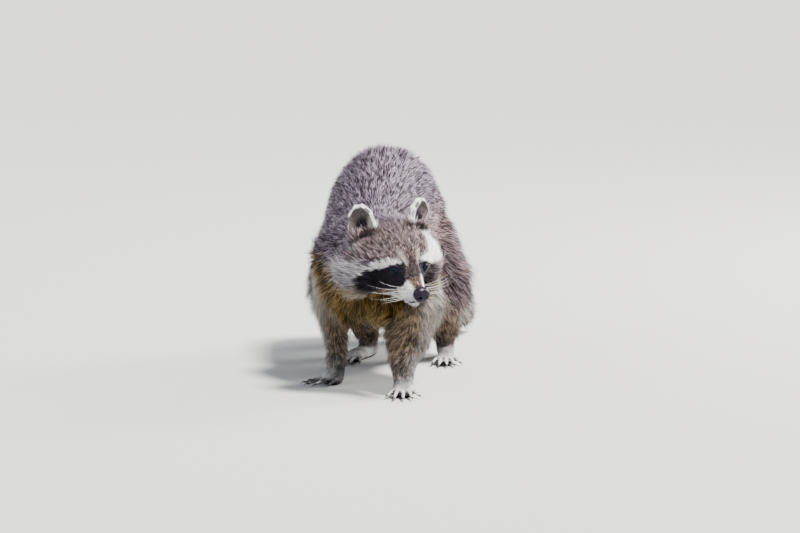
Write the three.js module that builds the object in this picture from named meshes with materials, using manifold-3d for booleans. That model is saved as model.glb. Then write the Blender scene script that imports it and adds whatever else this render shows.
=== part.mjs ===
// A life-size raccoon that stands on all fours with its back arched and its head turned to its left.
// Millimetres, +Z up. The animal faces -Y and its left side is +X. Its feet stand on Z = 0, and the
// origin is the middle of the bounding box at floor level. Every outline reaches to the tips of the coat.

import * as THREE from 'three';
import { mergeVertices } from 'three/addons/utils/BufferGeometryUtils.js';
import { LoftGeometry } from 'three/addons/geometries/LoftGeometry.js';
import Module from 'manifold-3d';

const wasm = await Module();
wasm.setup();

// ---- Driving dimensions ----

const GAP = 0.35; // clearance between two neighbouring pieces
const FAR = 1600; // well beyond the whole animal

const RUMP_HEIGHT = 309; // top of the arched back, coat included
const WITHERS_HEIGHT = 246; // top of the back over the shoulders
const BELLY_HEIGHT = 82; // underside of the coat above the floor
const RUMP_Y = 266; // the highest point of the back, behind the forefeet
const CHEST_Y = 44;
const CHEST_HALF_WIDTH = 73;
const BELLY_HALF_WIDTH = 88;
const RUMP_HALF_WIDTH = 86;

const HEAD_AT = new THREE.Vector3(35, -60, 202); // middle of the cranium
const HEAD_YAW = 32; // degrees, towards the animal's left
const HEAD_PITCH = 10; // nose down
const HEAD_ROLL = 2.5; // left side up
const EYE_RADIUS = 7.6;
const EYE_SPACING = 47; // between the two eye centres
const EAR_HEIGHT = 60;
const EAR_WIDTH = 42;
const EAR_RIM = 3; // thickness of the edge of the ear

const CLAW_LENGTH = 6.5;
const TOE_RADIUS = 3.7;

// Edge length of the surface grid on each part: finer where the form is finer.
const TRUNK_CELL = 22;
const HEAD_CELL = 11;
const LEG_CELL = 14.5;
const PAW_CELL = 11;

const v = (x, y, z) => new THREE.Vector3(x, y, z);
const degrees = THREE.MathUtils.degToRad;

// ---- Solids: three.js geometry joined and cut by manifold-3d ----

function solidOf(geometry) {
  const bare = new THREE.BufferGeometry().copy(geometry);
  for (const name of ['normal', 'uv', 'color']) bare.deleteAttribute(name);
  const merged = mergeVertices(bare, 1e-4);
  const all = merged.index.array;
  const kept = [];
  for (let i = 0; i < all.length; i += 3) {
    const [a, b, c] = [all[i], all[i + 1], all[i + 2]];
    if (a !== b && b !== c && c !== a) kept.push(a, b, c);
  }
  const mesh = new wasm.Mesh({
    numProp: 3,
    vertProperties: new Float32Array(merged.attributes.position.array),
    triVerts: new Uint32Array(kept),
  });
  return new wasm.Manifold(mesh);
}

function geometryOf(solid) {
  const mesh = solid.getMesh();
  const geometry = new THREE.BufferGeometry();
  geometry.setAttribute('position', new THREE.BufferAttribute(mesh.vertProperties, 3));
  geometry.setIndex(new THREE.BufferAttribute(mesh.triVerts, 1));
  geometry.computeVertexNormals();
  return geometry;
}

const unite = (solids) => solids.reduce((whole, solid) => whole.add(solid));
const cutAway = (solid, cutters) => cutters.reduce((left, cutter) => left.subtract(cutter), solid);

// The biggest body of a solid, so that a cut leaves no crumbs.
function mainBody(solid) {
  return solid.decompose().reduce((best, body) => (body.volume() > best.volume() ? body : best));
}

// All space on the side of a plane that it faces. A positive inset moves the plane that way.
function halfSpace({ at, facing }, inset) {
  const direction = facing.clone().normalize();
  const turn = new THREE.Quaternion().setFromUnitVectors(v(0, 0, 1), direction);
  const middle = at.clone().addScaledVector(direction, FAR / 2 + inset);
  const box = new THREE.BoxGeometry(FAR, FAR, FAR).applyQuaternion(turn);
  return solidOf(box.translate(middle.x, middle.y, middle.z));
}

// The convex space in front of several planes, smaller by half a gap for the piece inside it and
// larger by as much where it cuts that piece out of its neighbour.
function region(planes) {
  const made = (inset) => planes.map((plane) => halfSpace(plane, inset)).reduce((a, b) => a.intersect(b));
  return { piece: made(GAP / 2), cutter: made(-GAP / 2) };
}

// ---- Fields: negative inside, positive outside, about the distance in millimetres ----

function softMin(a, b, blend) {
  const overlap = Math.max(blend - Math.abs(a - b), 0) / blend;
  return Math.min(a, b) - (overlap * overlap * blend) / 4;
}

// A muscle between two points, with its own radius at each.
function muscle(from, fromRadius, to, toRadius) {
  const along = to.clone().sub(from);
  const squared = along.lengthSq();
  const offset = v(0, 0, 0);
  return (p) => {
    offset.subVectors(p, from);
    const share = THREE.MathUtils.clamp(offset.dot(along) / squared, 0, 1);
    const radius = THREE.MathUtils.lerp(fromRadius, toRadius, share);
    return offset.addScaledVector(along, -share).length() - radius;
  };
}

// An egg-shaped mass in the frame it is given, the animal's own by default.
function mass(centre, radii, frame = new THREE.Matrix4()) {
  const toLocal = frame.clone().invert();
  const local = v(0, 0, 0);
  const scaled = v(0, 0, 0);
  return (p) => {
    local.copy(p).applyMatrix4(toLocal).sub(centre);
    scaled.copy(local).divide(radii);
    const distance = scaled.length();
    return (distance * (distance - 1)) / Math.max(scaled.divide(radii).length(), 1e-6);
  };
}

function blended(fields, blend) {
  return (p) => fields.reduce((d, field) => softMin(d, field(p), blend), FAR);
}

// Closed surface where the field is zero, with one vertex in each grid cell that it crosses.
function surfaceOf(field, low, high, cell) {
  const count = [0, 1, 2].map((i) => Math.ceil((high.getComponent(i) - low.getComponent(i)) / cell) + 1);
  const [nx, ny, nz] = count;
  const at = (i, j, k) => i + nx * (j + ny * k);
  const place = (i, j, k) => v(low.x + i * cell, low.y + j * cell, low.z + k * cell);
  const value = new Float32Array(nx * ny * nz);
  for (let k = 0; k < nz; k++)
    for (let j = 0; j < ny; j++)
      for (let i = 0; i < nx; i++) {
        const edge = i * j * k === 0 || i === nx - 1 || j === ny - 1 || k === nz - 1;
        const d = field(place(i, j, k));
        value[at(i, j, k)] = edge ? Math.max(d, 0.2 * cell) : d;
      }

  const corners = [0, 1, 2, 3, 4, 5, 6, 7].map((c) => [c & 1, (c >> 1) & 1, c >> 2]);
  const edges = [];
  corners.forEach((a, m) =>
    corners.forEach((b, n) => {
      const apart = a.reduce((sum, x, i) => sum + Math.abs(x - b[i]), 0);
      if (m < n && apart === 1) edges.push([a, b]);
    }),
  );

  const positions = [];
  const vertexOf = new Map();
  for (let k = 0; k < nz - 1; k++)
    for (let j = 0; j < ny - 1; j++)
      for (let i = 0; i < nx - 1; i++) {
        const sum = v(0, 0, 0);
        let crossings = 0;
        for (const [a, b] of edges) {
          const [da, db] = [a, b].map((c) => value[at(i + c[0], j + c[1], k + c[2])]);
          if (da < 0 === db < 0) continue;
          const start = place(i + a[0], j + a[1], k + a[2]);
          const end = place(i + b[0], j + b[1], k + b[2]);
          sum.add(start.lerp(end, da / (da - db)));
          crossings++;
        }
        if (!crossings) continue;
        vertexOf.set(at(i, j, k), positions.length / 3);
        positions.push(...settled(sum.divideScalar(crossings), field, cell));
      }

  const index = [];
  const steps = [v(1, 0, 0), v(0, 1, 0), v(0, 0, 1)];
  const corner = (n) => v(...positions.slice(3 * n, 3 * n + 3));
  for (let k = 0; k < nz - 1; k++)
    for (let j = 0; j < ny - 1; j++)
      for (let i = 0; i < nx - 1; i++)
        steps.forEach((step, axis) => {
          const inside = value[at(i, j, k)] < 0;
          if (inside === value[at(i + step.x, j + step.y, k + step.z)] < 0) return;
          const [s, t] = [steps[(axis + 1) % 3], steps[(axis + 2) % 3]];
          const round = [[0, 0], [1, 0], [1, 1], [0, 1]].map(([m, n]) =>
            vertexOf.get(at(i - m * s.x - n * t.x, j - m * s.y - n * t.y, k - m * s.z - n * t.z)),
          );
          const [a, b, c, d] = inside ? round : round.reverse();
          const shorter = corner(a).distanceTo(corner(c)) < corner(b).distanceTo(corner(d));
          index.push(...(shorter ? [a, b, c, a, c, d] : [a, b, d, b, c, d]));
        });

  const geometry = new THREE.BufferGeometry();
  geometry.setAttribute('position', new THREE.Float32BufferAttribute(positions, 3));
  geometry.setIndex(index);
  return solidOf(geometry);
}

// Moves a point onto the surface of the field, by less than half a cell.
function settled(point, field, cell) {
  const probe = 0.05 * cell;
  const p = point.clone();
  for (let round = 0; round < 2; round++) {
    const d = field(p);
    const slope = v(
      field(v(p.x + probe, p.y, p.z)) - field(v(p.x - probe, p.y, p.z)),
      field(v(p.x, p.y + probe, p.z)) - field(v(p.x, p.y - probe, p.z)),
      field(v(p.x, p.y, p.z + probe)) - field(v(p.x, p.y, p.z - probe)),
    ).divideScalar(2 * probe);
    const move = slope.multiplyScalar(-d / Math.max(slope.lengthSq(), 0.25));
    p.add(move.clampLength(0, 0.3 * cell));
  }
  return p.toArray();
}

// ---- Trunk and neck ----

function trunkField() {
  const halfHeight = (top) => (top - BELLY_HEIGHT) / 2;
  const middle = (top) => (top + BELLY_HEIGHT) / 2;
  const loinTop = 0.36 * WITHERS_HEIGHT + 0.64 * RUMP_HEIGHT;
  const bellyTop = WITHERS_HEIGHT + 18;
  return blended(
    [
      mass(
        v(0, CHEST_Y, middle(WITHERS_HEIGHT) - 4),
        v(CHEST_HALF_WIDTH, 90, halfHeight(WITHERS_HEIGHT) - 4),
      ),
      mass(v(-1, 150, middle(bellyTop) - 4), v(BELLY_HALF_WIDTH, 105, halfHeight(bellyTop) - 2.5)),
      mass(v(-3, 212, middle(loinTop) + 2), v(RUMP_HALF_WIDTH - 2, 96, halfHeight(loinTop) - 4)),
      mass(v(-3, RUMP_Y, middle(RUMP_HEIGHT) + 2), v(RUMP_HALF_WIDTH, 86, halfHeight(RUMP_HEIGHT) - 5)),
    ],
    26,
  );
}

const NECK_BASE = v(4, 18, 182);
const NECK_TOP = v(29, -32, 185);
const neckField = muscle(NECK_BASE, 64, NECK_TOP, 50);

// ---- Legs: each is a chain of joints with the radius of the coat there ----

const LEGS = {
  foreleg_right: {
    names: ['upper_arm_right', 'forearm_right', 'forepaw_right'],
    joints: [v(-49, 50, 170), v(-57, 58, 106), v(-47, 14, 40), v(-49, 6, 11)],
    radii: [42, 28, 15.5, 12],
    span: [-70, 112],
    inner: { at: v(-37, 0, 96), facing: v(-0.9, 0, -0.44) },
    middle: { at: v(-57, 0, 101), facing: v(-0.5, 0, -0.87) },
    ankleHeight: 30,
    paw: { at: v(-49, 6, 0), heading: -50 },
  },
  foreleg_left: {
    names: ['upper_arm_left', 'forearm_left', 'forepaw_left'],
    joints: [v(50, 34, 168), v(57, 10, 112), v(55, -36, 74), v(52, -68, 44), v(53, -82, 12)],
    radii: [44, 41, 31, 18, 12.5],
    span: [-130, 100],
    inner: { at: v(39, 0, 96), facing: v(0.9, 0, -0.44) },
    middle: { at: v(57, 0, 104), facing: v(0.5, 0, -0.87) },
    ankleHeight: 31,
    paw: { at: v(53, -82, 0), heading: 4 },
  },
  hindleg_right: {
    names: ['thigh_right', 'shank_right', 'hind_foot_right'],
    joints: [v(-44, 262, 168), v(-61, 200, 114), v(-31, 236, 56), v(-23, 236, 15)],
    radii: [58, 49, 23, 13],
    span: [140, 345],
    inner: { at: v(-38, 0, 103), facing: v(-0.92, 0, -0.39) },
    middle: { at: v(-60, 0, 98), facing: v(-0.45, 0, -0.89) },
    ankleHeight: 36,
    paw: { at: v(-23, 240, 0), heading: -19 },
  },
  hindleg_left: {
    names: ['thigh_left', 'shank_left', 'hind_foot_left'],
    joints: [v(46, 260, 168), v(78, 196, 116), v(84, 228, 56), v(86, 236, 15)],
    radii: [59, 49, 23, 13],
    span: [130, 345],
    inner: { at: v(40, 0, 103), facing: v(0.92, 0, -0.39) },
    middle: { at: v(74, 0, 97), facing: v(0.38, 0, -0.92) },
    ankleHeight: 36,
    paw: { at: v(86, 240, 0), heading: 5 },
  },
};

function legField({ joints, radii }) {
  const bones = joints.slice(1).map((end, i) => muscle(joints[i], radii[i], end, radii[i + 1]));
  return blended(bones, 10);
}

// ---- Tail: it drops from the rump, swings to the left and lies along the floor ----

const TAIL_PATH = new THREE.CatmullRomCurve3(
  [
    ...[v(0, 318, 200), v(18, 366, 166), v(56, 402, 112), v(87, 426, 60)],
    ...[v(86, 464, 31), v(54, 500, 26), v(12, 514, 23)],
  ],
  false,
  'centripetal',
);
const TAIL_RADIUS = new THREE.CatmullRomCurve3(
  [v(0, 30, 0), v(0.25, 29, 0), v(0.55, 33, 0), v(0.8, 30, 0), v(1, 21, 0)],
);
const TAIL_STEPS = 14;

const tailPoints = TAIL_PATH.getSpacedPoints(TAIL_STEPS);
const tailRadii = tailPoints.map((_, i) => TAIL_RADIUS.getPoint(i / TAIL_STEPS).y);

function tailField() {
  const [points, radii] = [tailPoints, tailRadii];
  const lengths = points.slice(1).map((end, i) => muscle(points[i], radii[i], end, radii[i + 1]));
  return (p) => lengths.reduce((d, length) => Math.min(d, length(p)), FAR);
}

// ---- Head, in a frame of its own: it faces -Y there, and its left side is +X ----

const headFrame = new THREE.Matrix4().compose(
  HEAD_AT,
  new THREE.Quaternion().setFromEuler(
    new THREE.Euler(degrees(HEAD_PITCH), degrees(-HEAD_ROLL), degrees(HEAD_YAW), 'ZXY'),
  ),
  v(1, 1, 1),
);
const onHead = (x, y, z) => v(x, y, z).applyMatrix4(headFrame);
const headDirection = (x, y, z) => v(x, y, z).transformDirection(headFrame);

const NOSE = { at: [0, -93, -43], radii: v(11.5, 8.5, 10) };
const EYE = { z: -17, proud: 3 };
const EAR = { x: 42, y: 6, z: 32 };

function headField() {
  const upper = blended(
    [
      mass(v(0, 2, -7), v(50, 50, 36), headFrame),
      mass(v(0, -28, -15), v(38, 33, 28), headFrame),
      ...[-1, 1].map((side) => mass(v(side * 41, 2, -33), v(31, 34, 35), headFrame)),
      ...[-1, 1].map((side) => muscle(onHead(side * 20, -34, -10), 13, onHead(side * 34, -14, -2), 16)),
    ],
    18,
  );
  const muzzle = muscle(onHead(0, -44, -30), 24, onHead(0, -79, -43), 13.5);
  const chin = muscle(onHead(0, -26, -48), 21, onHead(0, -74, -54), 9.5);
  return blended([upper, muzzle, chin], 14);
}

// ---- The whole coat as one field ----

const legFields = Object.values(LEGS).map(legField);
const trunk = blended([trunkField(), ...legFields], 22);
const coat = blended([trunk, neckField, headField(), tailField()], 20);

function coatOver(low, high, cell) {
  return surfaceOf(coat, low, high, cell);
}

// ---- Paws ----

// A ring of points round a centre, facing along a direction.
function ring(centre, direction, radiusAcross, radiusUp, sides) {
  const across = v(0, 0, 1).cross(direction).normalize();
  const up = direction.clone().cross(across).normalize();
  return Array.from({ length: sides }, (_, i) => {
    const turn = (2 * Math.PI * i) / sides;
    return centre
      .clone()
      .addScaledVector(across, radiusAcross * Math.cos(turn))
      .addScaledVector(up, radiusUp * Math.sin(turn));
  });
}

// A closed tube through points, with a width and a height at each.
function tube(points, widths, heights, sides) {
  const sections = points.map((point, i) => {
    const before = points[Math.max(i - 1, 0)];
    const after = points[Math.min(i + 1, points.length - 1)];
    const direction = after.clone().sub(before).normalize();
    return ring(point, direction, widths[i], heights[i], sides);
  });
  return solidOf(new LoftGeometry(sections, { capStart: true, capEnd: true }));
}

// A foot stands at the origin and points along -Y. Its pads are egg-shaped, each with a centre and radii,
// and the five toes fan out from the ball of the foot.
const FOREFOOT = {
  lengths: [20, 27, 29, 28, 21],
  fan: [25, 8, 1, -7, -23],
  knuckles: [[13.5, -5], [8.5, -13], [0, -16], [-8.5, -14], [-13.5, -6]],
  pads: [[v(0, 0, 9), v(12, 13, 12)], [v(0, -8, 7), v(15.5, 13.5, 9)]],
};
const HINDFOOT = {
  lengths: [20, 26, 28, 27, 21],
  fan: [18, 7, 1, -6, -17],
  knuckles: [[14, -60], [8, -70], [0, -73], [-8, -71], [-14, -62]],
  pads: [[v(0, -10, 9), v(11.5, 24, 12)], [v(0, -38, 9), v(13, 26, 12)], [v(0, -59, 7), v(16, 15.5, 9)]],
};
const TOE_TIP_RADIUS = 2.3;
const TOE_HEIGHTS = [7, 8.5, 5.6, 4]; // of a toe's middle line, from its knuckle to its tip
const FLOOR = { at: v(0, 0, 0), facing: v(0, 0, -1) };

function toePath(foot, i) {
  const [x, y] = foot.knuckles[i];
  const outward = degrees(foot.fan[i]);
  const length = foot.lengths[i];
  const reaches = [-8, 0.3 * length, 0.68 * length, length];
  return reaches.map((reach, step) =>
    v(x + reach * Math.sin(outward), y - reach * Math.cos(outward), TOE_HEIGHTS[step]),
  );
}

function toe(foot, i) {
  const radii = [TOE_RADIUS, TOE_RADIUS, 0.95 * TOE_RADIUS, TOE_TIP_RADIUS];
  return tube(toePath(foot, i), radii, radii, 6);
}

function claw(foot, i) {
  const path = toePath(foot, i);
  const forward = path[3].clone().sub(path[2]).setZ(0).normalize();
  const start = path[3].clone().addScaledVector(path[3].clone().sub(path[2]).normalize(), GAP);
  const drop = [0, 0.7, 2.4];
  const points = drop.map((down, step) =>
    start.clone().addScaledVector(forward, (CLAW_LENGTH * step) / 2).add(v(0, 0, -down)),
  );
  return tube(points, [1.8, 1.3, 0.4], [2, 1.5, 0.5], 4);
}

function pawPlace({ paw }) {
  return new THREE.Matrix4().makeRotationZ(degrees(paw.heading)).setPosition(paw.at);
}

// The foot of a leg: pads, toes and the end of the lower leg, flat where it stands.
function pawSolid(leg, foot) {
  const place = pawPlace(leg);
  const middle = v(0, foot.pads.at(-1)[0].y / 2, 0).applyMatrix4(place);
  const reach = 58;
  const low = v(middle.x - reach, middle.y - reach, -16);
  const high = v(middle.x + reach, middle.y + reach, leg.ankleHeight + 14);
  const pads = foot.pads.map(([at, radii]) => mass(at, radii, place));
  const body = surfaceOf(blended([coat, ...pads], 9), low, high, PAW_CELL);
  const toes = foot.lengths.map((_, i) => toe(foot, i).transform(place.elements));
  return unite([body, ...toes]).subtract(halfSpace(FLOOR, 0));
}

// ---- Ears, eyes and nose ----

function ellipsoid(at, radii, turn = new THREE.Euler(), segments = [10, 7]) {
  const geometry = new THREE.SphereGeometry(1, ...segments);
  const local = new THREE.Matrix4().compose(v(...at), new THREE.Quaternion().setFromEuler(turn), radii);
  return solidOf(geometry.applyMatrix4(local).applyMatrix4(headFrame));
}

// A cup that opens forwards and a little outwards, cut where it meets the head.
function ear(side) {
  const lean = new THREE.Euler(degrees(-6), degrees(side * 10), degrees(side * 18), 'ZXY');
  const outer = ellipsoid([side * EAR.x, EAR.y, EAR.z - 4], v(EAR_WIDTH / 2, 12, EAR_HEIGHT / 2 + 4), lean);
  const opening = v(side * 3.5, -8.5, -1).applyEuler(lean);
  const inner = ellipsoid(
    [side * EAR.x + opening.x, EAR.y + opening.y, EAR.z - 4 + opening.z],
    v(EAR_WIDTH / 2 - EAR_RIM, 11, EAR_HEIGHT / 2 + 4 - EAR_RIM),
    lean,
  );
  return outer.subtract(inner);
}

// Where a ray from inside the coat leaves it, in the frame of the head.
function leaves(from, direction) {
  let [inside, outside] = [0, 60];
  while (outside - inside > 0.05) {
    const half = (inside + outside) / 2;
    const [x, y, z] = from.map((start, i) => start + half * direction[i]);
    if (coat(onHead(x, y, z)) < 0) inside = half;
    else outside = half;
  }
  return from.map((start, i) => start + inside * direction[i]);
}

// An eye looks forwards and outwards, and its front stands just proud of the coat.
function eyePlace(side) {
  const [x, y, z] = leaves([(side * EYE_SPACING) / 2, 0, EYE.z], [0, -1, 0]);
  return [x - side * 1.5, y + EYE_RADIUS - EYE.proud, z];
}
const even = (radius) => v(radius, radius, radius);

// ---- Nodes ----

const fur = new THREE.MeshStandardMaterial({ color: 0x8a7f7a, roughness: 0.95, metalness: 0 });
const paleFur = new THREE.MeshStandardMaterial({ color: 0xb9b2a4, roughness: 0.95, metalness: 0 });
const bareSkin = new THREE.MeshStandardMaterial({ color: 0x1d1a1d, roughness: 0.45, metalness: 0 });
const eyeGloss = new THREE.MeshStandardMaterial({ color: 0x10131a, roughness: 0.06, metalness: 0 });
const horn = new THREE.MeshStandardMaterial({ color: 0x2a2523, roughness: 0.5, metalness: 0 });

const raccoon = new THREE.Group();
raccoon.name = 'raccoon';

function addNode(name, solid, material) {
  const mesh = new THREE.Mesh(geometryOf(mainBody(solid)), material);
  mesh.name = name;
  raccoon.add(mesh);
}

// The collar plane leans so that the nape stays with the neck and the jaw with the head.
const collar = { at: onHead(0, 24, -6), facing: headDirection(0, -0.94, 0.34) };
const chinLevel = { at: onHead(0, 0, -72), facing: headDirection(0, 0.1, 1) };
const neckBack = { at: v(4, 22, 188), facing: v(0.2, -0.9, 0.4) };
const neckBottom = { at: v(0, -20, 136), facing: v(0, -0.35, 1) };
const mouthLine = { at: onHead(0, -60, -52), facing: headDirection(0, -0.12, -1) };
const jawHinge = { at: onHead(0, -26, -50), facing: headDirection(0, -1, -0.25) };
const headRegion = region([collar, chinLevel]);
const jawRegion = region([mouthLine, jawHinge]);
const neckRegion = region([neckBack, neckBottom]);

const bodyNet = coatOver(v(-145, -110, 30), v(150, 400, 340), TRUNK_CELL);

function addHead() {
  const [low, high] = [v(-75, -175, 106), v(145, 20, 273)];
  const net = coatOver(low, high, HEAD_CELL);
  const clearance = surfaceOf((p) => coat(p) - GAP, low, high, HEAD_CELL);
  const sockets = [-1, 1].map((side) => ellipsoid(eyePlace(side), even(EYE_RADIUS + GAP)));
  const noseSeat = ellipsoid(NOSE.at, NOSE.radii.clone().addScalar(GAP));
  const furred = cutAway(net.intersect(headRegion.piece), [...sockets, noseSeat]);

  addNode('head', furred.subtract(jawRegion.cutter), fur);
  addNode('lower_jaw', furred.intersect(jawRegion.piece), paleFur);
  addNode('nose', ellipsoid(NOSE.at, NOSE.radii), bareSkin);
  for (const [side, word] of [[-1, 'right'], [1, 'left']]) {
    addNode('eye_' + word, ellipsoid(eyePlace(side), even(EYE_RADIUS)), eyeGloss);
    addNode('ear_' + word, ear(side).subtract(clearance), paleFur);
  }
}

function addLegs() {
  const cutters = [];
  for (const leg of Object.values(LEGS)) {
    const [front, back] = leg.span;
    const between = [{ at: v(0, front, 0), facing: v(0, 1, 0) }, { at: v(0, back, 0), facing: v(0, -1, 0) }];
    const above = { at: leg.middle.at, facing: leg.middle.facing.clone().negate() };
    const ankle = { at: v(0, 0, leg.ankleHeight), facing: v(0, 0, 1) };
    const side = Math.sign(leg.inner.at.x);
    const midline = { at: v(-8 * side, 0, 0), facing: v(side, 0, 0) };
    const upper = region([leg.inner, above, ...between]);
    const lower = region([leg.middle, ankle, midline, ...between]);
    const footRegion = region([{ at: ankle.at, facing: v(0, 0, -1) }]);

    const [upperName, lowerName, footName] = leg.names;
    const isHind = footName.startsWith('hind');
    const foot = isHind ? HINDFOOT : FOREFOOT;
    const xs = leg.joints.map((joint) => joint.x);
    const net = coatOver(v(Math.min(...xs) - 60, front, 0), v(Math.max(...xs) + 60, back, 150), LEG_CELL);
    addNode(upperName, cutAway(bodyNet.intersect(upper.piece), [headRegion.cutter, neckRegion.cutter]), fur);
    addNode(lowerName, net.intersect(lower.piece), isHind ? fur : paleFur);
    addNode(footName, pawSolid(leg, foot).intersect(footRegion.piece), paleFur);
    foot.lengths.forEach((_, i) => {
      const name = footName.replace('paw', 'claw').replace('foot', 'claw') + '_' + (i + 1);
      addNode(name, claw(foot, i).transform(pawPlace(leg).elements), horn);
    });
    cutters.push(upper.cutter, lower.cutter, footRegion.cutter);
  }
  return cutters;
}

// The tail as a row of rings that closes in a blunt tip.
function tailSolid() {
  const last = tailPoints.length - 1;
  const end = tailPoints[last].clone().sub(tailPoints[last - 1]).normalize();
  const tipRadius = tailRadii[last];
  const tip = [0.5, 0.85].map((share) => tailPoints[last].clone().addScaledVector(end, share * tipRadius));
  const radii = [...tailRadii, 0.84 * tipRadius, 0.45 * tipRadius];
  return tube([...tailPoints, ...tip], radii, radii, 12);
}

function addTail() {
  const cuts = [0.13, 0.42, 0.72].map((share) => ({
    at: TAIL_PATH.getPointAt(share),
    facing: TAIL_PATH.getTangentAt(share),
  }));
  const reversed = (plane) => ({ at: plane.at, facing: plane.facing.clone().negate() });
  const standing = tailSolid().subtract(halfSpace(FLOOR, 0));
  const root = region([cuts[0]]);
  const parts = [
    ['tail_base', [cuts[0], reversed(cuts[1])]],
    ['tail_middle', [cuts[1], reversed(cuts[2])]],
    ['tail_end', [cuts[2]]],
  ];
  for (const [name, planes] of parts) addNode(name, standing.intersect(region(planes).piece), fur);
  return root.cutter;
}

function addTrunkAndNeck(legCutters, tailCutter) {
  const body = bodyNet.subtract(headRegion.cutter);
  addNode('neck', body.intersect(neckRegion.piece), fur);
  addNode('trunk', cutAway(body, [neckRegion.cutter, ...legCutters, tailCutter]), fur);
}

addHead();
const legCutters = addLegs();
const tailCutter = addTail();
addTrunkAndNeck(legCutters, tailCutter);

// The origin is the middle of the bounding box, on the floor.
const bounds = new THREE.Box3().setFromObject(raccoon);
const centre = bounds.getCenter(v(0, 0, 0));
raccoon.position.set(-centre.x, -centre.y, -bounds.min.z);

export default raccoon;
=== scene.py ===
"""A life-size raccoon that stands on a pale floor, with its head turned to its left.

One skin lies inside the furred solids by the depth of the coat. The coat is solid mesh: thin tufts that
grow from the skin, lie along the body and reach the outline of the solids. Metres, +Z up.
"""

import math

import bmesh
import bpy
import numpy as np
from mathutils import Matrix, Vector, kdtree
from mathutils.bvhtree import BVHTree


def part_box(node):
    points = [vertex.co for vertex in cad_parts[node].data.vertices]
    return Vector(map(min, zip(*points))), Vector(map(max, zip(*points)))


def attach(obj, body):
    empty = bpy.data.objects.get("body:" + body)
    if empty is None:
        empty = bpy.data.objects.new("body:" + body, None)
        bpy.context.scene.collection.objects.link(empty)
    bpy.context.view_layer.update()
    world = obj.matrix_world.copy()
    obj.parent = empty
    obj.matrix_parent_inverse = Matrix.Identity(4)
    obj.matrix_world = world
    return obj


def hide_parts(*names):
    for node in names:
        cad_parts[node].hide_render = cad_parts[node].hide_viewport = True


MM = 0.001
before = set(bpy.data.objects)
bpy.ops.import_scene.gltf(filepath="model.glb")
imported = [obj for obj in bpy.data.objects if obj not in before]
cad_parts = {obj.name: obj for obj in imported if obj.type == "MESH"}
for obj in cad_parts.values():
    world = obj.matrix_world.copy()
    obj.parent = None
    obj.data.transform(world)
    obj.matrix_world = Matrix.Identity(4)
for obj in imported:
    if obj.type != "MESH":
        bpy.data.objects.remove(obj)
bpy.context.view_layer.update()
random = np.random.default_rng(7)

# ---- Sizes ----

SKIN_VOXEL = 1.5 * MM
SKIN_TRIANGLES = 180000  # what is kept of the fine skin, most of it on the head and the feet
SEAM_CLOSING = 0.35 * MM  # how far each solid grows at least, so that the cuts between the solids close
GROWTH_SHARE = 0.11  # how much further it grows, as a share of the depth of the coat
SINKING_STEPS = 10  # in which the surface of the solids goes down to the skin

# The coat by part: how deep the skin lies below its tips (millimetres), how far the tufts stand up from the
# skin (degrees), how wide they are and how far apart they grow (millimetres).
DEPTH, LEAN, WIDTH, SPACING = range(4)
COAT = {
    "head": (5.0, 30, 0.56, 0.96),
    "lower_jaw": (3.0, 26, 0.5, 0.95),
    "ear": (0.9, 20, 0.42, 0.85),
    "eye": (1.6, 26, 0.5, 1.0),
    "nose": (3.2, 20, 0.45, 1.0),
    "neck": (13.0, 33, 0.74, 1.28),
    "trunk": (15.0, 32, 0.83, 1.43),
    "upper_arm": (13.0, 32, 0.72, 1.26),
    "forearm": (9.0, 28, 0.62, 1.1),
    "forepaw": (1.2, 16, 0.46, 0.92),
    "thigh": (20.0, 33, 0.8, 1.38),
    "shank": (10.0, 28, 0.66, 1.16),
    "hind_foot": (1.2, 16, 0.5, 1.06),
    "tail": (14.0, 40, 0.86, 1.46),
}


def part_of(node):
    """The kind of body part that a node is: the name in COAT that starts the node's own."""
    return next((part for part in COAT if node.startswith(part)), None)


# ---- Places, from the solids ----


def middle(node):
    low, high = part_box(node)
    return np.array((low + high) / 2)


def unit(vectors):
    lengths = np.linalg.norm(vectors, axis=-1, keepdims=True)
    return vectors / np.maximum(lengths, 1e-12)


EYES = {side: middle(f"eye_{side}") for side in ("left", "right")}
NOSE = middle("nose")
BROW = (EYES["left"] + EYES["right"]) / 2
EYE_RADIUS = 0.5 * (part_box("eye_left")[1].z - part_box("eye_left")[0].z)

# The face's own directions: to the animal's left, along the muzzle to the nose, and up from it.
FACE_LEFT = unit(EYES["left"] - EYES["right"])
muzzle_line = NOSE - BROW
FACE_FRONT = unit(muzzle_line - FACE_LEFT * (muzzle_line @ FACE_LEFT))
FACE_UP = np.cross(FACE_LEFT, -FACE_FRONT)
FACE_UP = unit(FACE_UP * np.sign(FACE_UP[2]))


def on_face(points):
    """Points in the face's frame, in millimetres from the middle between the eyes: left, front and up."""
    away = (points - BROW) / MM
    return away @ FACE_LEFT, away @ FACE_FRONT, away @ FACE_UP


# ---- Values that rise and fall over the surface ----


def step_between(low, high, values):
    """0 below low, 1 above high and smooth between. It falls where low is above high."""
    t = np.clip((values - low) / (high - low), 0, 1)
    return t * t * (3 - 2 * t)


def bump(values, centre, half):
    """1 at the centre, falling to 0 over about twice a half width."""
    return np.exp(-(((values - centre) / half) ** 2))


def inside(shape, edge):
    """1 where a shape's value is under 1, fading over an edge on both sides."""
    return step_between(1 + edge, 1 - edge, shape)


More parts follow.
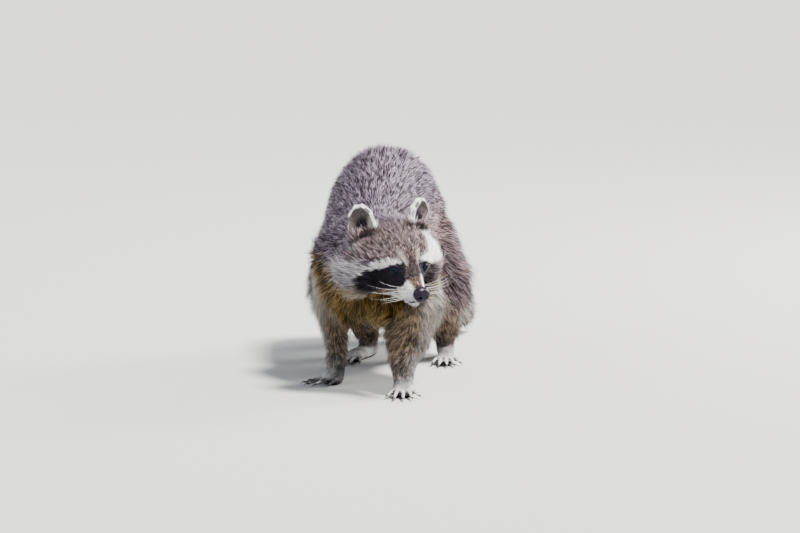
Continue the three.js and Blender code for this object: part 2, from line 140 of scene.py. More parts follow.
def within(x, y, outline, edge):
    """1 inside a closed outline and 0 outside, fading over an edge on both sides."""
    nearest = np.full(len(x), np.inf)
    crossings = np.zeros(len(x), int)
    for (x0, y0), (x1, y1) in zip(outline, outline[1:] + outline[:1]):
        wide, high = x1 - x0, y1 - y0
        t = np.clip(((x - x0) * wide + (y - y0) * high) / (wide**2 + high**2), 0, 1)
        nearest = np.minimum(nearest, np.hypot(x - x0 - t * wide, y - y0 - t * high))
        if y0 != y1:
            crossings += ((y0 > y) != (y1 > y)) & (x < x0 + (y - y0) * wide / high)
    return step_between(edge, -edge, np.where(crossings % 2 == 1, -nearest, nearest))


def ripples(points, wavelength, seed):
    """Smooth noise between about -1 and 1 that changes over a wavelength in metres."""
    waves = np.random.default_rng(seed)
    total = np.zeros(len(points))
    for _ in range(7):
        way = unit(waves.normal(size=3)) * (2 * math.pi / wavelength) * waves.uniform(0.6, 1.5)
        total += np.sin(points @ way + waves.uniform(0, 2 * math.pi))
    return total / 2.6


# ---- Mesh as arrays ----


class Surface:
    """The arrays of a closed quad mesh, and what is worked out from them."""

    def __init__(self, mesh):
        self.points = np.empty(3 * len(mesh.vertices))
        mesh.vertices.foreach_get("co", self.points)
        self.points = self.points.reshape(-1, 3)
        self.edges = np.empty(2 * len(mesh.edges), np.int64)
        mesh.edges.foreach_get("vertices", self.edges)
        self.edges = self.edges.reshape(-1, 2)
        mesh.calc_loop_triangles()
        self.triangles = np.empty(3 * len(mesh.loop_triangles), np.int64)
        mesh.loop_triangles.foreach_get("vertices", self.triangles)
        self.triangles = self.triangles.reshape(-1, 3)
        self.degree = np.bincount(self.edges.ravel(), minlength=len(self.points)).astype(float)

    def neighbours(self, values):
        """The mean of each point's neighbours."""
        a, b = self.edges[:, 0], self.edges[:, 1]
        columns = values.reshape(len(values), -1)
        sums = [
            np.bincount(a, column[b], len(values)) + np.bincount(b, column[a], len(values))
            for column in columns.T
        ]
        return (np.stack(sums, axis=1) / np.maximum(self.degree, 1)[:, None]).reshape(values.shape)

    def smoothed(self, values, rounds, share=0.5):
        """Values drawn to the mean of their neighbours, a number of times, by a share for all or for each."""
        for _ in range(rounds):
            values = values + share * (self.neighbours(values) - values)
        return values

    def corners(self):
        return [self.points[self.triangles[:, i]] for i in range(3)]

    def normals(self):
        a, b, c = self.corners()
        faces = np.cross(b - a, c - a)
        sums = np.zeros_like(self.points)
        for i in range(3):
            for axis in range(3):
                sums[:, axis] += np.bincount(self.triangles[:, i], faces[:, axis], len(sums))
        return unit(sums)

    def areas(self):
        a, b, c = self.corners()
        return 0.5 * np.linalg.norm(np.cross(b - a, c - a), axis=1)


def new_piece(name, mesh, material, nodes=()):
    piece = bpy.data.objects.new(name, mesh)
    bpy.context.scene.collection.objects.link(piece)
    if material:
        mesh.materials.clear()
        mesh.materials.append(material)
    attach(piece, "root")
    if nodes:
        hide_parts(*nodes)
    return piece


# ---- Skin ----

FLESH = [node for node in sorted(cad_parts) if part_of(node) not in (None, "eye", "nose")]
UNDER_SKIN = FLESH + ["nose", "eye_left", "eye_right"]


def growth_of(node):
    """How far a solid grows before the skin is made: more under a deep coat, so that no hollow is left."""
    return SEAM_CLOSING + GROWTH_SHARE * MM * COAT[part_of(node)][DEPTH]


def grown_solids():
    """All the solids under the skin in one mesh, each grown until the cuts between them close."""
    whole = bmesh.new()
    for node in UNDER_SKIN:
        solid = bmesh.new()
        solid.from_mesh(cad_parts[node].data)
        bmesh.ops.remove_doubles(solid, verts=solid.verts, dist=1e-6)
        solid.normal_update()
        for vert in solid.verts:
            vert.co += growth_of(node) * vert.normal
        grown = bpy.data.meshes.new("grown")
        solid.to_mesh(grown)
        solid.free()
        whole.from_mesh(grown)
        bpy.data.meshes.remove(grown)
    mesh = bpy.data.meshes.new("grown_solids")
    whole.to_mesh(mesh)
    whole.free()
    return mesh


def with_modifier(mesh, kind, weights=None, **settings):
    """A new mesh: the old one after one modifier. The old one is removed."""
    holder = bpy.data.objects.new("holder", mesh)
    bpy.context.scene.collection.objects.link(holder)
    modifier = holder.modifiers.new(kind, kind)
    if weights is not None:
        group = holder.vertex_groups.new(name="weights")
        for index in np.flatnonzero(weights):
            group.add([int(index)], float(weights[index]), "REPLACE")
        modifier.vertex_group = "weights"
    for key, value in settings.items():
        setattr(modifier, key, value)
    evaluated = holder.evaluated_get(bpy.context.evaluated_depsgraph_get())
    result = bpy.data.meshes.new_from_object(evaluated)
    bpy.data.objects.remove(holder)
    bpy.data.meshes.remove(mesh)
    return result


def nearest_parts(points):
    """For each point, the index in UNDER_SKIN of the solid nearest to it."""
    corners, polygons, owners = [], [], []
    for index, node in enumerate(UNDER_SKIN):
        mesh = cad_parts[node].data
        first = len(corners)
        corners.extend(v.co.copy() for v in mesh.vertices)
        polygons.extend([first + i for i in p.vertices] for p in mesh.polygons)
        owners.extend([index] * len(mesh.polygons))
    tree = BVHTree.FromPolygons(corners, polygons)
    return np.array([owners[tree.find_nearest(point)[2]] for point in points])


def by_part(owner, column):
    """One column of COAT for each point."""
    return np.array([COAT[part_of(node)][column] for node in UNDER_SKIN], float)[owner]


def owned_by(owner, *names):
    """Which points belong to some kinds of part, or to some single nodes."""
    named = [node in names or part_of(node) in names for node in UNDER_SKIN]
    return np.isin(owner, np.flatnonzero(named))


# The line of the mouth, from its corners to under the nose, in the face's millimetres.
MOUTH_FRONT = [18, 24, 36, 44, 50, 53]
MOUTH_UP = [-39, -34, -24.5, -17.5, -12.5, -11]
MOUTH_HALF_WIDTH = 24
MOUTH_SLOPE = 0.72  # of a height above the line, the share that is square to it
LIP_GROOVE = 1.3  # the half width of the groove between the lips, in millimetres
LIP_GROOVE_DEPTH = 1.5 * MM


def on_lips(points):
    """How far each point lies from the line of the mouth, in millimetres, below it counted negative."""
    left, front, up = on_face(points)
    away = (up - np.interp(front, MOUTH_FRONT, MOUTH_UP)) * MOUTH_SLOPE
    beyond = np.maximum(MOUTH_FRONT[0] - front, 0) + np.maximum(np.abs(left) - MOUTH_HALF_WIDTH, 0)
    return np.where(beyond > 0, np.hypot(away, beyond), away)


# The coat on the legs thins out downwards: for some parts, heights and the depth there, in millimetres.
LEG_DEPTHS = [
    (("forearm", "forepaw"), [12, 26, 42, 80, 115], [1.2, 2.4, 5.0, 9.5, 13]),
    (("shank", "hind_foot"), [14, 30, 42, 70, 115], [1.2, 2.6, 6, 14, 20]),
]


def coat_depths(surface, owner):
    """The depth of the coat at each point, in metres. It grows from the muzzle to the ruffs and throat."""
    depth = by_part(owner, DEPTH)
    _, front, up = on_face(surface.points)
    head, jaw = owned_by(owner, "head"), owned_by(owner, "lower_jaw")
    depth[head] = np.clip(2.2 - 0.15 * front + 0.25 * np.maximum(-38 - up, 0), 1.8, 10.0)[head]
    depth[jaw] = np.clip(12.5 - 0.32 * front, 3.0, 12.0)[jaw]
    height = surface.points[:, 2] / MM
    for parts, heights, depths in LEG_DEPTHS:
        leg = owned_by(owner, *parts)
        depth[leg] = np.interp(height[leg], heights, depths)
    return surface.smoothed(depth, 14) * MM


def drop_inner_walls(mesh):
    """Keeps the surface that is seen from outside, without the walls of hollows left between the solids."""
    bm = bmesh.new()
    bm.from_mesh(mesh)
    seen, largest = set(), []
    for start in bm.verts:
        if start in seen:
            continue
        seen.add(start)
        shell = [start]
        for vert in shell:
            for edge in vert.link_edges:
                other = edge.other_vert(vert)
                if other not in seen:
                    seen.add(other)
                    shell.append(other)
        if len(shell) > len(largest):
            largest = shell
    keep = set(largest)
    bmesh.ops.delete(bm, geom=[vert for vert in bm.verts if vert not in keep], context="VERTS")
    bm.to_mesh(mesh)
    bm.free()


def sink(surface, owner, depth):
    """Takes the surface inwards by a depth, and smooths the trunk and neck where it folds over itself."""
    softness = np.clip(depth / (8 * MM), 0.05, 1)[:, None]
    surface.points = surface.smoothed(surface.points, 26, 0.6 * softness)
    outward = surface.normals()
    for _ in range(SINKING_STEPS):
        surface.points -= surface.normals() * (depth / SINKING_STEPS)[:, None]
        surface.points = surface.smoothed(surface.points, 1, 0.4 * softness)
    turned_over = (np.sum(surface.normals() * outward, axis=1) < -0.1) & owned_by(owner, "trunk", "neck")
    near_folds = np.clip(4 * surface.smoothed(turned_over.astype(float), 8), 0, 1)[:, None]
    surface.points = surface.smoothed(surface.points, 80, 0.7 * near_folds)


def part_lips(surface, owner):
    """Presses a groove into the skin along the line of the mouth."""
    groove = bump(on_lips(surface.points), 0, LIP_GROOVE) * owned_by(owner, "head", "lower_jaw", "nose")
    surface.points -= surface.normals() * (LIP_GROOVE_DEPTH * groove)[:, None]


def make_skin():
    """The skin as a mesh with its arrays, and for each point the index of its solid and the coat's depth."""
    mesh = with_modifier(grown_solids(), "REMESH", mode="VOXEL", voxel_size=SKIN_VOXEL)
    drop_inner_walls(mesh)
    surface = Surface(mesh)
    owner = nearest_parts(surface.points)
    grown = surface.smoothed(np.array([growth_of(node) for node in UNDER_SKIN])[owner], 10)
    sink(surface, owner, coat_depths(surface, owner) + grown)
    part_lips(surface, owner)
    mesh.vertices.foreach_set("co", surface.points.ravel())
    mesh.update()
    coarse = owned_by(owner, "trunk", "neck", "tail", "thigh", "upper_arm", "shank", "forearm")
    mesh = with_modifier(
        mesh,
        "DECIMATE",
        weights=np.where(coarse, 1.0, 0.12),
        vertex_group_factor=1.0,
        ratio=SKIN_TRIANGLES / len(surface.triangles),
    )
    mesh.polygons.foreach_set("use_smooth", np.ones(len(mesh.polygons), bool))
    mesh.name = "skin"
    surface = Surface(mesh)
    owner = nearest_parts(surface.points)
    return mesh, surface, owner, coat_depths(surface, owner)


def unwrapped(mesh):
    """Lays the skin out flat, and gives the place of each point in that layout."""
    holder = bpy.data.objects.new("holder", mesh)
    bpy.context.scene.collection.objects.link(holder)
    mesh.uv_layers.new(name="OFBake")
    bpy.context.view_layer.objects.active = holder
    holder.select_set(True)
    bpy.ops.object.mode_set(mode="EDIT")
    bpy.ops.mesh.select_all(action="SELECT")
    bpy.ops.uv.smart_project(angle_limit=math.radians(66), island_margin=0.002)
    bpy.ops.object.mode_set(mode="OBJECT")
    bpy.data.objects.remove(holder)
    uv = np.empty(2 * len(mesh.loops))
    mesh.uv_layers["OFBake"].data.foreach_get("uv", uv)
    owners = np.empty(len(mesh.loops), np.int64)
    mesh.loops.foreach_get("vertex_index", owners)
    place = np.zeros((len(mesh.vertices), 2))
    place[owners] = uv.reshape(-1, 2)
    return place


# ---- Lie of the coat ----


def toes_of(foot):
    """The middle of a foot's claws."""
    claw = foot.replace("paw", "claw").replace("foot", "claw")
    return np.mean([middle(f"{claw}_{i}") for i in range(1, 6)], axis=0)


def corners_of(node):
    return np.array([vert.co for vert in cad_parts[node].data.vertices])


def touching(node, other):
    """The middle of the cut between two neighbouring solids."""
    polygons = [polygon.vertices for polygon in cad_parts[other].data.polygons]
    tree = BVHTree.FromPolygons([Vector(corner) for corner in corners_of(other)], polygons)
    near = [corner for corner in corners_of(node) if tree.find_nearest(Vector(corner))[3] < 0.6 * MM]
    return np.mean(near, axis=0)


def tail_points():
    """Points along the middle of the tail, from the rump to the tip."""
    root = touching("tail_base", "trunk")
    joints = [touching("tail_middle", "tail_base"), touching("tail_end", "tail_middle")]
    ends = corners_of("tail_end")
    tip = ends[np.argmax(np.linalg.norm(ends - joints[1], axis=1))]
    return np.array(
        [root, middle("tail_base"), joints[0], middle("tail_middle"), joints[1], middle("tail_end"), tip]
    )


def along_line(points, line):
    """For each point, how far along a line of points it lies (0 to 1), and the line's direction there."""
    steps = line[1:] - line[:-1]
    lengths = np.linalg.norm(steps, axis=1)
    starts = np.concatenate([[0], np.cumsum(lengths)[:-1]])
    best = np.full(len(points), np.inf)
    share = np.zeros(len(points))
    direction = np.zeros_like(points)
    for start, step, length, before in zip(line, steps, lengths, starts):
        t = np.clip((points - start) @ step / length**2, 0, 1)
        away = np.linalg.norm(points - start - t[:, None] * step, axis=1)
        nearer = away < best
        best[nearer] = away[nearer]
        share[nearer] = (before + t[nearer] * length) / lengths.sum()
        direction[nearer] = step / length
    return share, direction


TAIL_LINE = tail_points()
HEAD_MIDDLE = middle("head")


def comb_leg(lie, points, owner, side, upper, lower, foot, parting):
    """On a leg the hair points down it and aside to both sides of it, and on a foot towards the toes."""
    upper, lower, foot = f"{upper}_{side}", f"{lower}_{side}", f"{foot}_{side}"
    ankle = touching(foot, lower)
    lie[owned_by(owner, lower)] = unit(ankle - touching(lower, upper)) + [0, 0.25, 0]
    for node in (upper, lower):
        leg = owned_by(owner, node)
        lie[leg, 0] += parting * np.clip((points[leg, 0] - middle(node)[0]) / (14 * MM), -1, 1)
    lie[owned_by(owner, foot)] = unit((toes_of(foot) - ankle) * [1, 1, 0.3])


def lie_of_coat(surface, owner, normals):
    """The way the hair points at each point of the skin, along the surface."""
    points = surface.points
    lie = np.tile([0.0, 1.0, -0.42], (len(points), 1))
    face = owned_by(owner, "head", "eye", "nose")
    lie[face] = unit(points[face] - (NOSE + 4 * MM * FACE_FRONT))
    lie[owned_by(owner, "lower_jaw")] = -FACE_FRONT + [0, 0, -0.5]
    lie[owned_by(owner, "neck")] = [-0.15, 1.0, -0.55]
    lie[owned_by(owner, "upper_arm")] = [0, 0.2, -1]
    lie[owned_by(owner, "thigh")] = [0, 0.45, -0.9]
    for side, sideways in (("left", 1), ("right", -1)):
        lie[owned_by(owner, f"ear_{side}")] = FACE_LEFT * 0.25 * sideways + [0, 0, 1]
        comb_leg(lie, points, owner, side, "upper_arm", "forearm", "forepaw", 0.55)
        comb_leg(lie, points, owner, side, "thigh", "shank", "hind_foot", 0.15)
    tail = owned_by(owner, "tail")
    lie[tail] = along_line(points[tail], TAIL_LINE)[1]
    lie = unit(lie)
    for _ in range(30):
        lie = lie + 0.6 * (surface.neighbours(lie) - lie)
        lie -= normals * np.sum(lie * normals, axis=1, keepdims=True)
        lie = unit(lie)
    return lie


# ---- Markings and painted shade: how dark, pale, tan and brown the coat is, each from 0 to 1 ----

MARKS = DARK, PALE, TAN, BROWN = range(4)

# Outlines on one side of the face, in millimetres from its middle line and up the slope from the eyes.
MASK = [
    (69, -13), (63, -4), (50, 0.5), (38, 3), (30, 6), (24, 8.5), (18, 11.5),
    (13.5, 14), (11.5, 9), (10.5, 2), (12, -6), (14, -12), (16.5, -19), (19.5, -26),
    (23, -33), (28, -39), (40, -41), (52, -38), (62, -32), (68, -21),
]
RIGHT_BROW = [
    (13, 10), (17, 14.5), (24, 16.5), (35, 15), (46, 11.5), (56, 6), (63, 0),
    (62, -8), (38, -3), (14, 7),
]
LEFT_BROW = [
    (14, 8), (16, 14), (21, 17), (32, 19), (38, 25), (42, 33), (45, 46),
    (76, 46), (76, 3), (38, 1), (16, 5),
]
BROW_SPOT = [(7, 7), (10.5, 8), (14.5, 17), (17.5, 27), (13, 27), (8.5, 18)]
MUZZLE = [(8, -12), (11, -7), (16, -10), (22, -20), (24, -50), (0, -60), (0, -44), (7, -34), (7.5, -20)]
BESIDE_STRIPE = [(4.5, -10), (9.5, -8), (10.5, -22), (8, -30), (5, -26)]

# The dark stripe from the nose over the forehead: heights above the eyes with its half width there in
# millimetres, and heights with its strength there.
STRIPE_HALF_WIDTH = [-34, -24, -14, -3, 6, 16, 26, 46, 60], [4, 5.5, 7.5, 10, 6, 4, 3.4, 3, 5]
STRIPE_STRENGTH = [-8, 20, 34, 50, 62], [1, 0.9, 0.55, 0.3, 0]
FACE_MIDDLE = 1.5  # how far the markings' middle line lies to the left, in millimetres


def along_face(points):
    """Points in millimetres from the middle between the eyes: left, up the face's slope and out of it."""
    left, front, up = on_face(points)
    return left, 0.73 * up - 0.68 * front, 0.73 * front + 0.68 * up


def face_marks(points):
    """The dark mask, the pale brows and muzzle, the brown stripe and the tan beside it."""
    left, rise, ahead = along_face(points)
    left = left - FACE_MIDDLE
    aside = np.abs(left)
    ragged = 1.2 * ripples(points, 8 * MM, 3) + 0.8 * ripples(points, 3.5 * MM, 9)
    side, height = aside + 0.6 * ragged, rise + ragged
    leftward, rightward = step_between(20, 34, left), step_between(0, -5, left)

    mask = within(side, height, MASK, 1.6) * step_between(-60, -44, ahead)
    right_brow, left_brow = within(side, height, RIGHT_BROW, 1.8), within(side, height, LEFT_BROW, 3.2)
    brow = np.where(left < 0, right_brow, left_brow) * step_between(-78, -55, ahead)
    muzzle = within(aside, height + 5 * rightward, MUZZLE, 1.8 + 1.6 * rightward)
    muzzle *= step_between(-6, 4, ahead + 9 * step_between(3, 9, left))
    spot = within(aside + 0.3 * ragged, height, BROW_SPOT, 3.0)
    low = step_between(-14, -38, height) * step_between(14, -24, ahead)
    mottled = 0.56 + 0.2 * ripples(points, 13 * MM, 4) + 0.5 * ripples(points, 1.8 * MM, 6)
    ruff = step_between(50, 60, side) * step_between(22, 8, height) * (1 - 0.7 * leftward) * mottled
    under = step_between(-31, -37, height) * (1 - 0.8 * leftward)
    temple = bump(side, 52, 8) * bump(rise, 30, 6) * bump(ahead, -60, 10)
    half = np.interp(rise, *STRIPE_HALF_WIDTH) * (1 + 0.35 * rightward * bump(rise, -14, 9))
    stripe = inside(aside / half, 0.3) * np.interp(rise, *STRIPE_STRENGTH)
    beside = within(aside, height, BESIDE_STRIPE, 1.5)
    forehead = 0.56 * step_between(12, 22, rise) * step_between(-75, -40, ahead)
    flecks = step_between(0.1, 0.8, ripples(points, 2.5 * MM, 31))
    between_eyes = 0.8 * stripe * step_between(-16, -6, rise) * step_between(30, 14, rise)

    dark = np.maximum(mask * (1 - 0.2 * leftward), between_eyes)
    below = np.maximum(0.58 * ruff * (1 - low), 0.8 * under * (1 - 0.8 * low))
    pale = np.maximum.reduce([brow, muzzle, 0.38 * spot, below, temple]) * (1 - mask)
    pale = np.maximum(pale, 0.22 * forehead * flecks) * (1 - 0.9 * stripe * (1 - spot))
    tan = np.maximum.reduce([0.9 * spot, 0.7 * beside, 0.8 * low]) * (1 - mask)
    left_cheek = 0.9 * leftward * step_between(6, 0, height)
    brown = np.maximum.reduce([stripe * (1 - 0.8 * beside), forehead, left_cheek])
    return dark, pale, tan, brown


def ear_frame(side):
    """The middle of an ear, its own directions (across, up and out of its hollow) and its half sizes."""
    points = corners_of(f"ear_{side}")
    centre = (points.max(axis=0) + points.min(axis=0)) / 2
    _, _, ways = np.linalg.svd(points - points.mean(axis=0), full_matrices=False)
    up, across, out = ways
    up = up * np.sign(up[2])
    out = out * np.sign(out @ -unit(TAIL_LINE[0] - HEAD_MIDDLE))
    half_width, half_height = (np.abs((points - centre) @ way).max() for way in (across, up))
    return centre, (across, up, out), half_width, half_height


EARS = {side: ear_frame(side) for side in ("left", "right")}


def ear_marks(points, normals, hollow, side):
    """A thin pale rim, a grey hollow with painted shade deep in it low down, pale inner hair and a tan base.
    """
    centre, (across, up, out), half_width, half_height = EARS[side]
    inward = np.sign(across @ FACE_LEFT) * (1 if side == "right" else -1)
    aside = inward * (points - centre) @ across / half_width
    rise = (points - centre) @ up / half_height
    turned = normals @ out
    rim = step_between(-0.14 * MM, -0.24 * MM, hollow) * step_between(-0.75, -0.35, turned)
    rim *= step_between(-0.75, -0.35, rise)
    facing = step_between(-0.25, 0.25, turned) * (1 - rim)
    # painted shade: the grey hollow darkens where it is deepest, low down
    deep = inside(np.hypot((aside + 0.02) / 0.34, (rise + 0.22) / 0.5), 0.4)
    inner_hair = step_between(0.18, 0.5, aside) * step_between(0.7, 0.3, rise)
    base = step_between(-0.3, -0.65, rise)
    dark = facing * (0.34 + 0.66 * deep) * (1 - 0.8 * inner_hair * (1 - deep))
    pale = np.maximum(rim, facing * (0.12 + 0.5 * inner_hair) * (1 - deep)) * (1 - 0.5 * base)
    tan = np.clip(0.75 * base + facing * (0.3 + 0.25 * inner_hair), 0, 0.75) * (1 - 0.9 * rim)
    brown = 0.5 * (1 - facing) * (1 - rim) * step_between(0.5, 0.1, rise)
    return dark, pale, tan, brown


def turned_out(points, normals):
    """1 on the outer sides of the legs, 0 on the others."""
    return step_between(0.3, 0.85, np.sign(points[:, 0]) * normals[:, 0])


def trunk_marks(points, normals, rough):
    """Grizzled above, silvery buff below, warm buff on the chest darkened by painted shade, and browner on
    the left flank.
    """
    height = points[:, 2] / MM
    below = step_between(-0.2, -0.75, normals[:, 2] + 0.12 * rough)
    chest = step_between(190, 150, height + 8 * rough) * step_between(0.1, -0.5, normals[:, 1])
    warm = step_between(70, 25, np.abs(points[:, 0] / MM - 4))
    leftward = step_between(0.1, 0.8, normals[:, 0]) * step_between(250, 190, height)
    tan = np.clip(0.3 * below + (0.8 + 0.2 * warm) * chest, 0, 1)
    # painted shade: the first mark darkens the chest under the head
    return 0.18 * chest * warm, 0.3 * below * (1 - chest), tan, 0.6 * leftward + 0.2 * chest * warm


def upper_arm_marks(points, normals, rough):
    dark, pale, tan, brown = trunk_marks(points, normals, rough)
    return dark, np.maximum(pale, 0.1 + 0.28 * turned_out(points, normals)), tan, brown


def thigh_marks(points, normals, rough):
    none = np.zeros(len(points))
    return none + 0.26, none, none, 0.4 + 0.15 * rough


def foreleg_marks(points, normals, rough):
    """Tan above and pale below, by height in millimetres, with a pale outer side and a browner front."""
    low = points[:, 2] / MM + 3 * rough
    dark = 0.1 * (points[:, 0] > 0)
    pale = np.interp(low, [8, 16, 28, 44], [0.75, 0.45, 0.12, 0.04]) + 0.22 * turned_out(points, normals)
    tan = np.interp(low, [14, 30, 60, 110], [0.08, 0.34, 0.6, 0.72])
    brown = 0.28 * step_between(-0.3, -0.8, normals[:, 1]) * step_between(36, 60, low)
    return dark, pale, tan, brown


def hind_leg_marks(points, normals, rough):
    """Brown above and pale below, by height in millimetres."""
    low = points[:, 2] / MM + 3 * rough
    pale = np.interp(low, [8, 14, 21, 30], [0.75, 0.45, 0.1, 0.02])
    tan = np.interp(low, [12, 30, 60, 90], [0.05, 0.42, 0.42, 0.1])
    brown = np.interp(low, [14, 30, 44], [0, 0.5, 0.65])
    return np.zeros(len(points)), pale, tan, brown


TAIL_RINGS = 5.6  # how many pairs of a dark and a pale ring the tail has
FIRST_RING = 0.52  # how far through a dark and a pale ring the tail starts
DARK_TIP = 0.88, 0.93  # where along the tail its dark tip fades in


def tail_marks(points, normals, rough):
    share, _ = along_line(points, TAIL_LINE)
    ring = np.sin(2 * math.pi * (TAIL_RINGS * share + FIRST_RING) + 0.5 * ripples(points, 25 * MM, 8))
    dark = np.maximum(0.85 * step_between(0.3, 0.7, ring), step_between(*DARK_TIP, share))
    return dark, 0.4 * (1 - dark), 0.6 * (1 - dark), np.zeros(len(points))


BODY_MARKS = {
    trunk_marks: ("trunk", "neck"),
    upper_arm_marks: ("upper_arm",),
    thigh_marks: ("thigh",),
    foreleg_marks: ("forearm", "forepaw"),
    hind_leg_marks: ("shank", "hind_foot"),
    tail_marks: ("tail",),
}


def paw_soles_and_shade(points, normals, owner, hollow):
    """Dark soles, painted shade in the creases between the toes and painted shade on the toes of the right
    forepaw.
    """
    # painted shade: darker the deeper a crease between the toes lies
    crease_shade = step_between(0.1 * MM, 0.36 * MM, hollow) * step_between(26, 18, points[:, 2] / MM)
    from_wrist = np.linalg.norm((points - middle("forepaw_right"))[:, :2], axis=1) / MM
    # painted shade: the toes of the right forepaw darkened
    toes = step_between(8, 18, from_wrist) * owned_by(owner, "forepaw_right")
    soles = step_between(-0.35, -0.8, normals[:, 2])
    return np.maximum.reduce([soles, 0.9 * crease_shade, 0.8 * toes])


def markings(points, normals, owner, hollow):
    """How dark, pale, tan and brown the coat is at each point, as one row of marks, with painted shade among
    them.
    """
    marks = np.zeros((len(points), len(MARKS)))
    rough = ripples(points, 30 * MM, 5)
    for marks_of, parts in BODY_MARKS.items():
        there = owned_by(owner, *parts)
        marks[there] = np.stack(marks_of(points[there], normals[there], rough[there]), axis=1)
    paws = owned_by(owner, "forepaw", "hind_foot")
    marks[paws, DARK] = paw_soles_and_shade(points[paws], normals[paws], owner[paws], hollow[paws])
    facial = owned_by(owner, "head", "lower_jaw", "eye", "nose")
    marks[facial] = np.stack(face_marks(points[facial]), axis=1)
    marks[owned_by(owner, "lower_jaw")] = [0.0, 0.8, 0.3, 0.0]
    # Dark along the line of the mouth: the lips' own dark skin, and painted shade in the groove between them
    lips = step_between(1.3, 0.5, np.abs(on_lips(points))) * owned_by(owner, "head", "lower_jaw", "nose")
    marks[:, DARK] = np.maximum(marks[:, DARK], lips)
    marks[:, PALE] *= 1 - lips
    for side in EARS:
        ear = owned_by(owner, f"ear_{side}")
        marks[ear] = np.stack(ear_marks(points[ear], normals[ear], hollow[ear], side), axis=1)
    return np.clip(marks, 0, 1)


# ---- Coat ----

LOCK_TUFTS = 3  # how many tufts share a lock
SHORT_HAIR = 6.5 * MM  # shorter tufts than this grow straight
STRAY_SHARE = 0.05  # of the tufts, those that stand up from the others
SHORTEST, LONGEST = 2 * MM, 42 * MM
ROOT_DEPTH = 0.3 * MM  # how far a tuft's root lies under the skin
BEND_SHARE = 0.45  # where on a tuft's length it bends
BEND_ANGLE = math.radians(17)  # how far it turns from its lean, before and after the bend
TUFT_SIDES = 3
UV_PATCH = 0.003  # the size of a tuft's patch in the coat's layout


def sown(surface, spacing):
    """Roots spread evenly over the skin: the triangle of each, and its place in it."""
    a, b, c = surface.triangles.T
    gap = (spacing[a] + spacing[b] + spacing[c]) / 3 * MM
    wanted = np.cumsum(surface.areas() / gap**2)
    count = int(wanted[-1])
    picks = (np.arange(count) + random.uniform(0, 1, count)) * wanted[-1] / count
    triangle = np.searchsorted(wanted, picks).clip(0, len(wanted) - 1)
    u, v = random.uniform(0, 1, (2, count))
    folded = u + v > 1
    u[folded], v[folded] = 1 - u[folded], 1 - v[folded]
    return triangle, np.stack([1 - u - v, u, v], axis=1)


def lengthening(points, normals, owner):
    """How many times longer the hair is than the coat's depth asks: in the ruffs, chest and elbows."""
    longer = np.ones(len(points))
    left, rise, ahead = along_face(points)
    head = owned_by(owner, "head", "lower_jaw")
    ruff = step_between(-8, -48, ahead) * step_between(32, 6, rise) * step_between(26, 44, np.abs(left))
    temple = step_between(-20, -45, ahead) * step_between(16, 26, rise) * step_between(36, 46, np.abs(left))
    longer[head] += (1.2 * ruff + 0.8 * temple)[head]
    height = points[:, 2] / MM
    chest = step_between(-0.1, -0.7, normals[:, 1]) * step_between(170, 130, height)
    elbow = step_between(165, 120, height) * step_between(60, 95, height)
    elbow *= step_between(0.25, 0.75, np.abs(normals[:, 0]))
    longer += 0.3 * chest * owned_by(owner, "neck", "trunk")
    longer += 0.3 * elbow * owned_by(owner, "upper_arm", "trunk")
    return longer


def wisps(points, normals, owner):
    """Where long hairs stand out of the coat: on the outer sides of the elbows and the thighs. Their pale
    colour is partly their own and partly painted rim light.
    """
    height = points[:, 2] / MM
    elbows = step_between(165, 140, height) * step_between(70, 90, height)
    elbows *= owned_by(owner, "upper_arm", "forearm", "trunk") * (points[:, 1] < -100 * MM)
    thighs = step_between(50, 80, height) * owned_by(owner, "thigh")
    return step_between(0.3, 0.8, np.abs(normals[:, 0])) * np.maximum(elbows, thighs)


def nearest_leaders(roots, owners):
    """For each tuft, the tuft that leads its lock."""
    leaders = np.arange(0, len(roots), LOCK_TUFTS)
    tree = kdtree.KDTree(len(leaders))
    for i, leader in enumerate(leaders):
        tree.insert(roots[leader], i)
    tree.balance()
    nearest = leaders[[tree.find(root)[1] for root in roots]]
    return np.where(owners[nearest] == owners, nearest, np.arange(len(roots)))


def hollows(surface, normals):
    """How deep each point lies in a crease, in metres."""
    return np.sum((surface.smoothed(surface.points, 10) - surface.points) * normals, axis=1)


def directions(root, normal, way, leader):
    """The way each tuft points, stirred by itself and with its lock, and the way across it."""
    count = len(root)
    side = unit(np.cross(normal, way))
    swirl = 0.16 * ripples(root, 30 * MM, 21) + 0.12 * ripples(root, 9 * MM, 22)
    swirl += random.normal(0, 0.09, count)[leader] + random.normal(0, 0.13, count)
    way = unit(way + swirl[:, None] * side)
    return way, unit(np.cross(normal, way))


def leaning(lean, root, stray, leader):
    """How far each tuft stands up from the skin, in radians."""
    count = len(root)
    lean = lean + random.normal(0, 4, count) + random.normal(0, 5, count)[leader]
    lean = np.radians(lean + 4 * ripples(root, 17 * MM, 23) + 12 * stray)
    return np.clip(lean, math.radians(8), math.radians(70))


def tuft_lengths(root, normal, owners, depth, lean, stray, wispy, leader):
    """Long enough to reach the coat's depth, uneven, longer in wisps and short at the lips and the eyes."""
    count = len(root)
    length = depth / np.sin(np.clip(lean, math.radians(14), None)) * lengthening(root, normal, owners)
    length *= random.uniform(0.74, 1.06, count) * random.uniform(0.84, 1.14, count)[leader]
    length = np.clip(length * (1 + (0.22 + 0.5 * wispy) * stray), SHORTEST, LONGEST)
    facial = owned_by(owners, "head", "lower_jaw")
    length[facial] *= 0.35 + 0.65 * step_between(0.2, 2.2, np.abs(on_lips(root[facial])))
    from_eye = np.minimum(*(np.linalg.norm(root - eye, axis=1) for eye in EYES.values()))
    return length * (0.5 + 0.5 * step_between(7 * MM, 13 * MM, from_eye))


